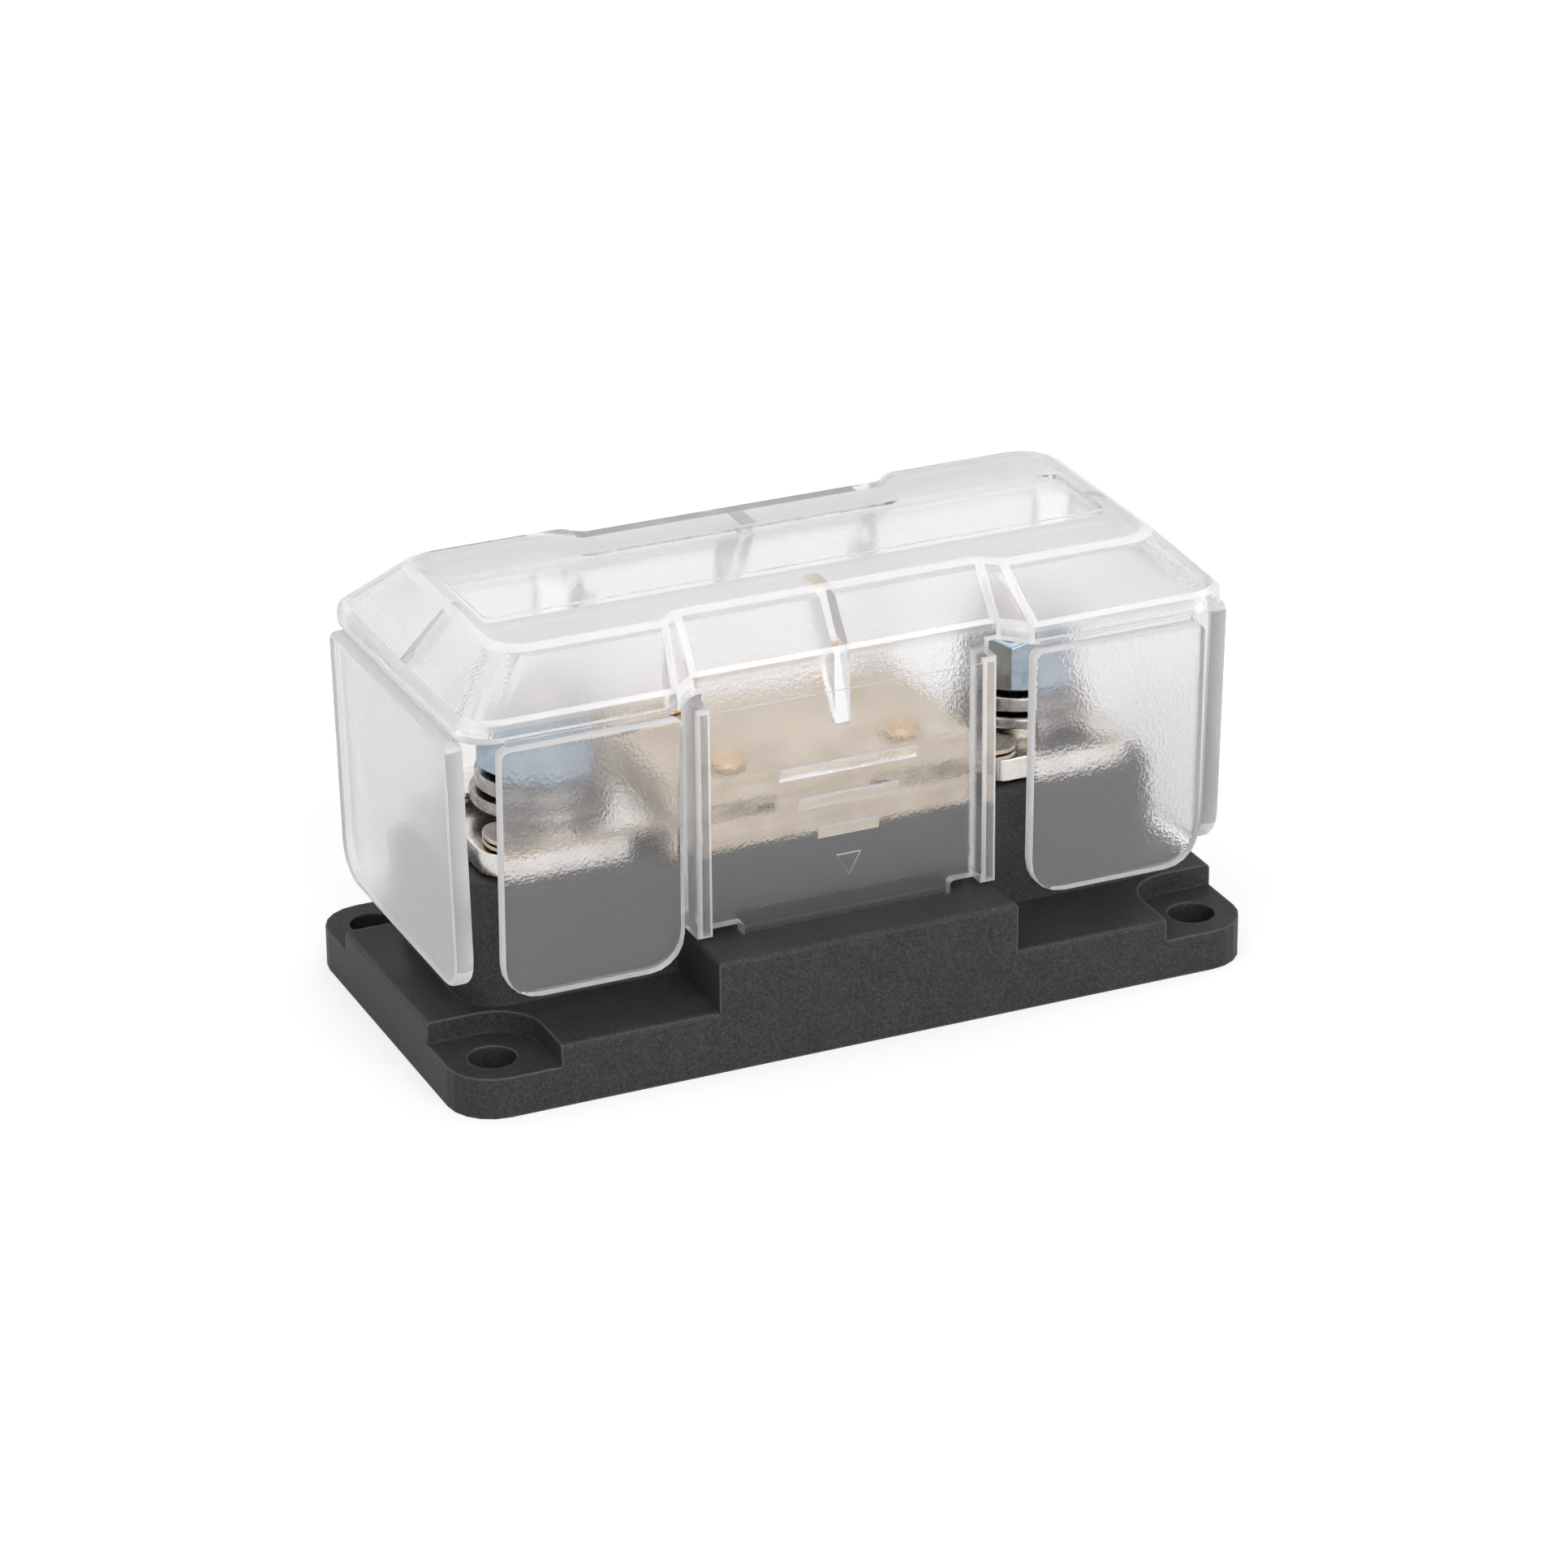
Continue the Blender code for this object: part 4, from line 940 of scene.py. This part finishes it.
class HOLDER_OT_fuse(bpy.types.Operator):
    """Finish the strip fuse: blade, boards and rivet heads"""

    bl_idname = "holder.finish_fuse"
    bl_label = "Strip fuse"

    def execute(self, context):
        sizes, colours = settings()
        tin = plated("blade_tin", colours.tin_low, colours.tin_high, 0.18, 0.36, (6, 1, 1))
        cut = plated("blade_edge", colours.cut_low, colours.cut_high, 0.24, 0.42, (1, 1, 8))
        for node in ("fuse_link", "left_fuse_tab", "right_fuse_tab"):
            layer = own_copy(node, f"{node}_metal")
            two_finishes(layer, tin, cut)
            round_edges(layer, BLADE_EDGE, 1)
            stand_for(layer, "holder", "tinned_copper", node)
        board = laminate_board(colours)
        for node in ("fuse_bottom_board", "fuse_top_board"):
            piece = own_copy(node, f"{node}_laminate")
            if node == "fuse_bottom_board":
                join_meshes(piece, self.lands())
            piece.data.materials.append(board)
            round_edges(piece, BOARD_EDGE)
            stand_for(piece, "holder", "fuse_laminate", node)
        self.set_rivets(sizes, colours)
        return {"FINISHED"}

    def lands(self):
        """Low blocks that close the space between the boards beside the blade's neck."""
        low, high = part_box("fuse_bottom_board")
        ceiling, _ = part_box("fuse_top_board")
        lands = bpy.data.objects.new("lands", bpy.data.meshes.new("lands"))
        size = (2 * LAND_HALF_LENGTH, LAND_DEPTH, ceiling.z - high.z)
        inset = LAND_INSET + LAND_DEPTH / 2
        work = bmesh.new()
        for across in (low.y + inset, high.y - inset):
            verts = bmesh.ops.create_cube(work, size=1.0)["verts"]
            bmesh.ops.scale(work, verts=verts, vec=size)
            bmesh.ops.translate(work, verts=verts, vec=(0.0, across, (ceiling.z + high.z) / 2))
        work.to_mesh(lands.data)
        work.free()
        return lands

    def set_rivets(self, sizes, colours):
        """One piece with the four rivet heads on the upper board."""
        copper = plated(
            "rivet_copper", colours.copper_low, colours.copper_high, 0.2, 0.4, (1, 1, 1))
        left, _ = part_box("fuse_rivet_left_front")
        _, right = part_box("fuse_rivet_right_rear")
        low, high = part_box("fuse_rivet_right_rear")
        radius = (high.x - low.x) / 2
        _, board_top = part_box("fuse_top_board")
        rivets = rivet_tree(copper).make("rivet_heads", {
            "Spacing X": right.x - left.x - 2 * radius,
            "Spacing Y": right.y - left.y - 2 * radius,
            "Radius": radius,
            "Bore": RIVET_BORE,
            "Height": RIVET_HEIGHT,
            "Bottom": board_top.z + RIVET_LIFT,
            "Segments": sizes.rivet_segments,
        })
        sharp_above(rivets, 50.0)
        stand_for(rivets, "holder", "rivet_copper", *RIVET_NODES)


def softbox(name, place, size, power):
    """A square white lamp aimed at the middle of the holder."""
    lamp = bpy.data.lights.new(name, "AREA")
    lamp.shape = "SQUARE"
    lamp.size = size
    lamp.energy = power
    item = bpy.data.objects.new(name, lamp)
    item.location = place
    aim = Vector(LAMP_AIM) - Vector(place)
    item.rotation_euler = aim.to_track_quat("-Z", "Y").to_euler()
    bpy.context.scene.collection.objects.link(item)


class HOLDER_OT_stage(bpy.types.Operator):
    """Set the floor, the light and the camera"""

    bl_idname = "holder.set_stage"
    bl_label = "Studio"

    def execute(self, context):
        scene = context.scene
        scene.view_settings.view_transform = "Standard"
        self.lay_floor()
        self.light_room(scene)
        self.aim_camera(scene)
        return {"FINISHED"}

    def lay_floor(self):
        """A pale floor that the camera sees as white wherever no shadow falls."""
        mesh = bpy.data.meshes.new("floor")
        corners = [
            (x * FLOOR_REACH, y * FLOOR_REACH, 0.0) for x, y in ((-1, -1), (1, -1), (1, 1), (-1, 1))
        ]
        mesh.from_pydata(corners, [], [(0, 1, 2, 3)])
        floor = bpy.data.objects.new("floor", mesh)
        bpy.context.scene.collection.objects.link(floor)
        finish = Finish("floor_white")
        seen = self.seen_rays(finish)
        plain = finish.node("ShaderNodeBsdfDiffuse", {}, {"Color": grey(FLOOR_GREY)})
        shade = finish.node("ShaderNodeBsdfDiffuse", {}, {"Color": grey(FLOOR_SEEN_GREY)})
        glow = finish.node(
            "ShaderNodeEmission", {}, {"Color": grey(1.0), "Strength": FLOOR_GLOW})
        pale = finish.node("ShaderNodeAddShader", {}, {0: shade, 1: glow})
        shader = finish.node("ShaderNodeMixShader", {}, {0: seen, 1: plain, 2: pale})
        finish.node("ShaderNodeOutputMaterial", {}, {"Surface": shader})
        mesh.materials.append(finish.material)

    def seen_rays(self, finish):
        """1 for what the camera sees directly or through the clear cover, and 0 otherwise."""
        direct = finish.node("ShaderNodeLightPath", out="Is Camera Ray")
        through = finish.node("ShaderNodeLightPath", out="Is Transmission Ray")
        return finish.span(direct + through, 0.0, 1.0, 0.0, 1.0)

    def light_room(self, scene):
        """A dim room that looks white behind the holder, and the lamps."""
        world = bpy.data.worlds.new("studio")
        world.use_nodes = True
        scene.world = world
        finish = Finish(tree=world.node_tree)
        strength = finish.span(self.seen_rays(finish), 0.0, 1.0, WORLD_STRENGTH, 1.0)
        air = finish.node("ShaderNodeBackground", {}, {"Color": grey(1.0), "Strength": strength})
        finish.node("ShaderNodeOutputWorld", {}, {"Surface": air})
        for lamp in LAMPS:
            softbox(*lamp)

    def aim_camera(self, scene):
        """The camera of the photograph, as fitted to the holder's edges."""
        lens = bpy.data.cameras.new("camera")
        lens.sensor_fit = "HORIZONTAL"
        lens.sensor_width = 36.0
        lens.lens = CAMERA_LENS
        lens.clip_start = 0.01
        lens.clip_end = 20.0
        camera = bpy.data.objects.new("camera", lens)
        camera.location = CAMERA_PLACE
        camera.rotation_euler = Euler(CAMERA_TURN)
        scene.collection.objects.link(camera)
        scene.camera = camera


OPERATORS = (
    HOLDER_OT_base,
    HOLDER_OT_terminals,
    HOLDER_OT_studs,
    HOLDER_OT_fuse,
    HOLDER_OT_cover,
    HOLDER_OT_stage,
)


class HOLDER_PT_panel(bpy.types.Panel):
    """Lists the holder's pieces and settings"""

    bl_label = "Fuse holder"
    bl_idname = "HOLDER_PT_panel"
    bl_space_type = "VIEW_3D"
    bl_region_type = "UI"
    bl_category = "Holder"

    def draw(self, context):
        for operator in OPERATORS:
            self.layout.operator(operator.bl_idname)
        for group in (context.scene.holder_sizes, context.scene.holder_colours):
            for name in group.bl_rna.properties.keys():
                if name not in ("rna_type", "name"):
                    self.layout.prop(group, name)


CLASSES = (HolderSizes, HolderColours, *OPERATORS, HOLDER_PT_panel)


def register():
    for item in CLASSES:
        bpy.utils.register_class(item)
    bpy.types.Scene.holder_sizes = PointerProperty(type=HolderSizes)
    bpy.types.Scene.holder_colours = PointerProperty(type=HolderColours)


def unregister():
    del bpy.types.Scene.holder_colours
    del bpy.types.Scene.holder_sizes
    for item in reversed(CLASSES):
        bpy.utils.unregister_class(item)


def main():
    register()
    for operator in OPERATORS:
        group, name = operator.bl_idname.split(".")
        getattr(getattr(bpy.ops, group), name)()


if __name__ == "__main__":
    main()
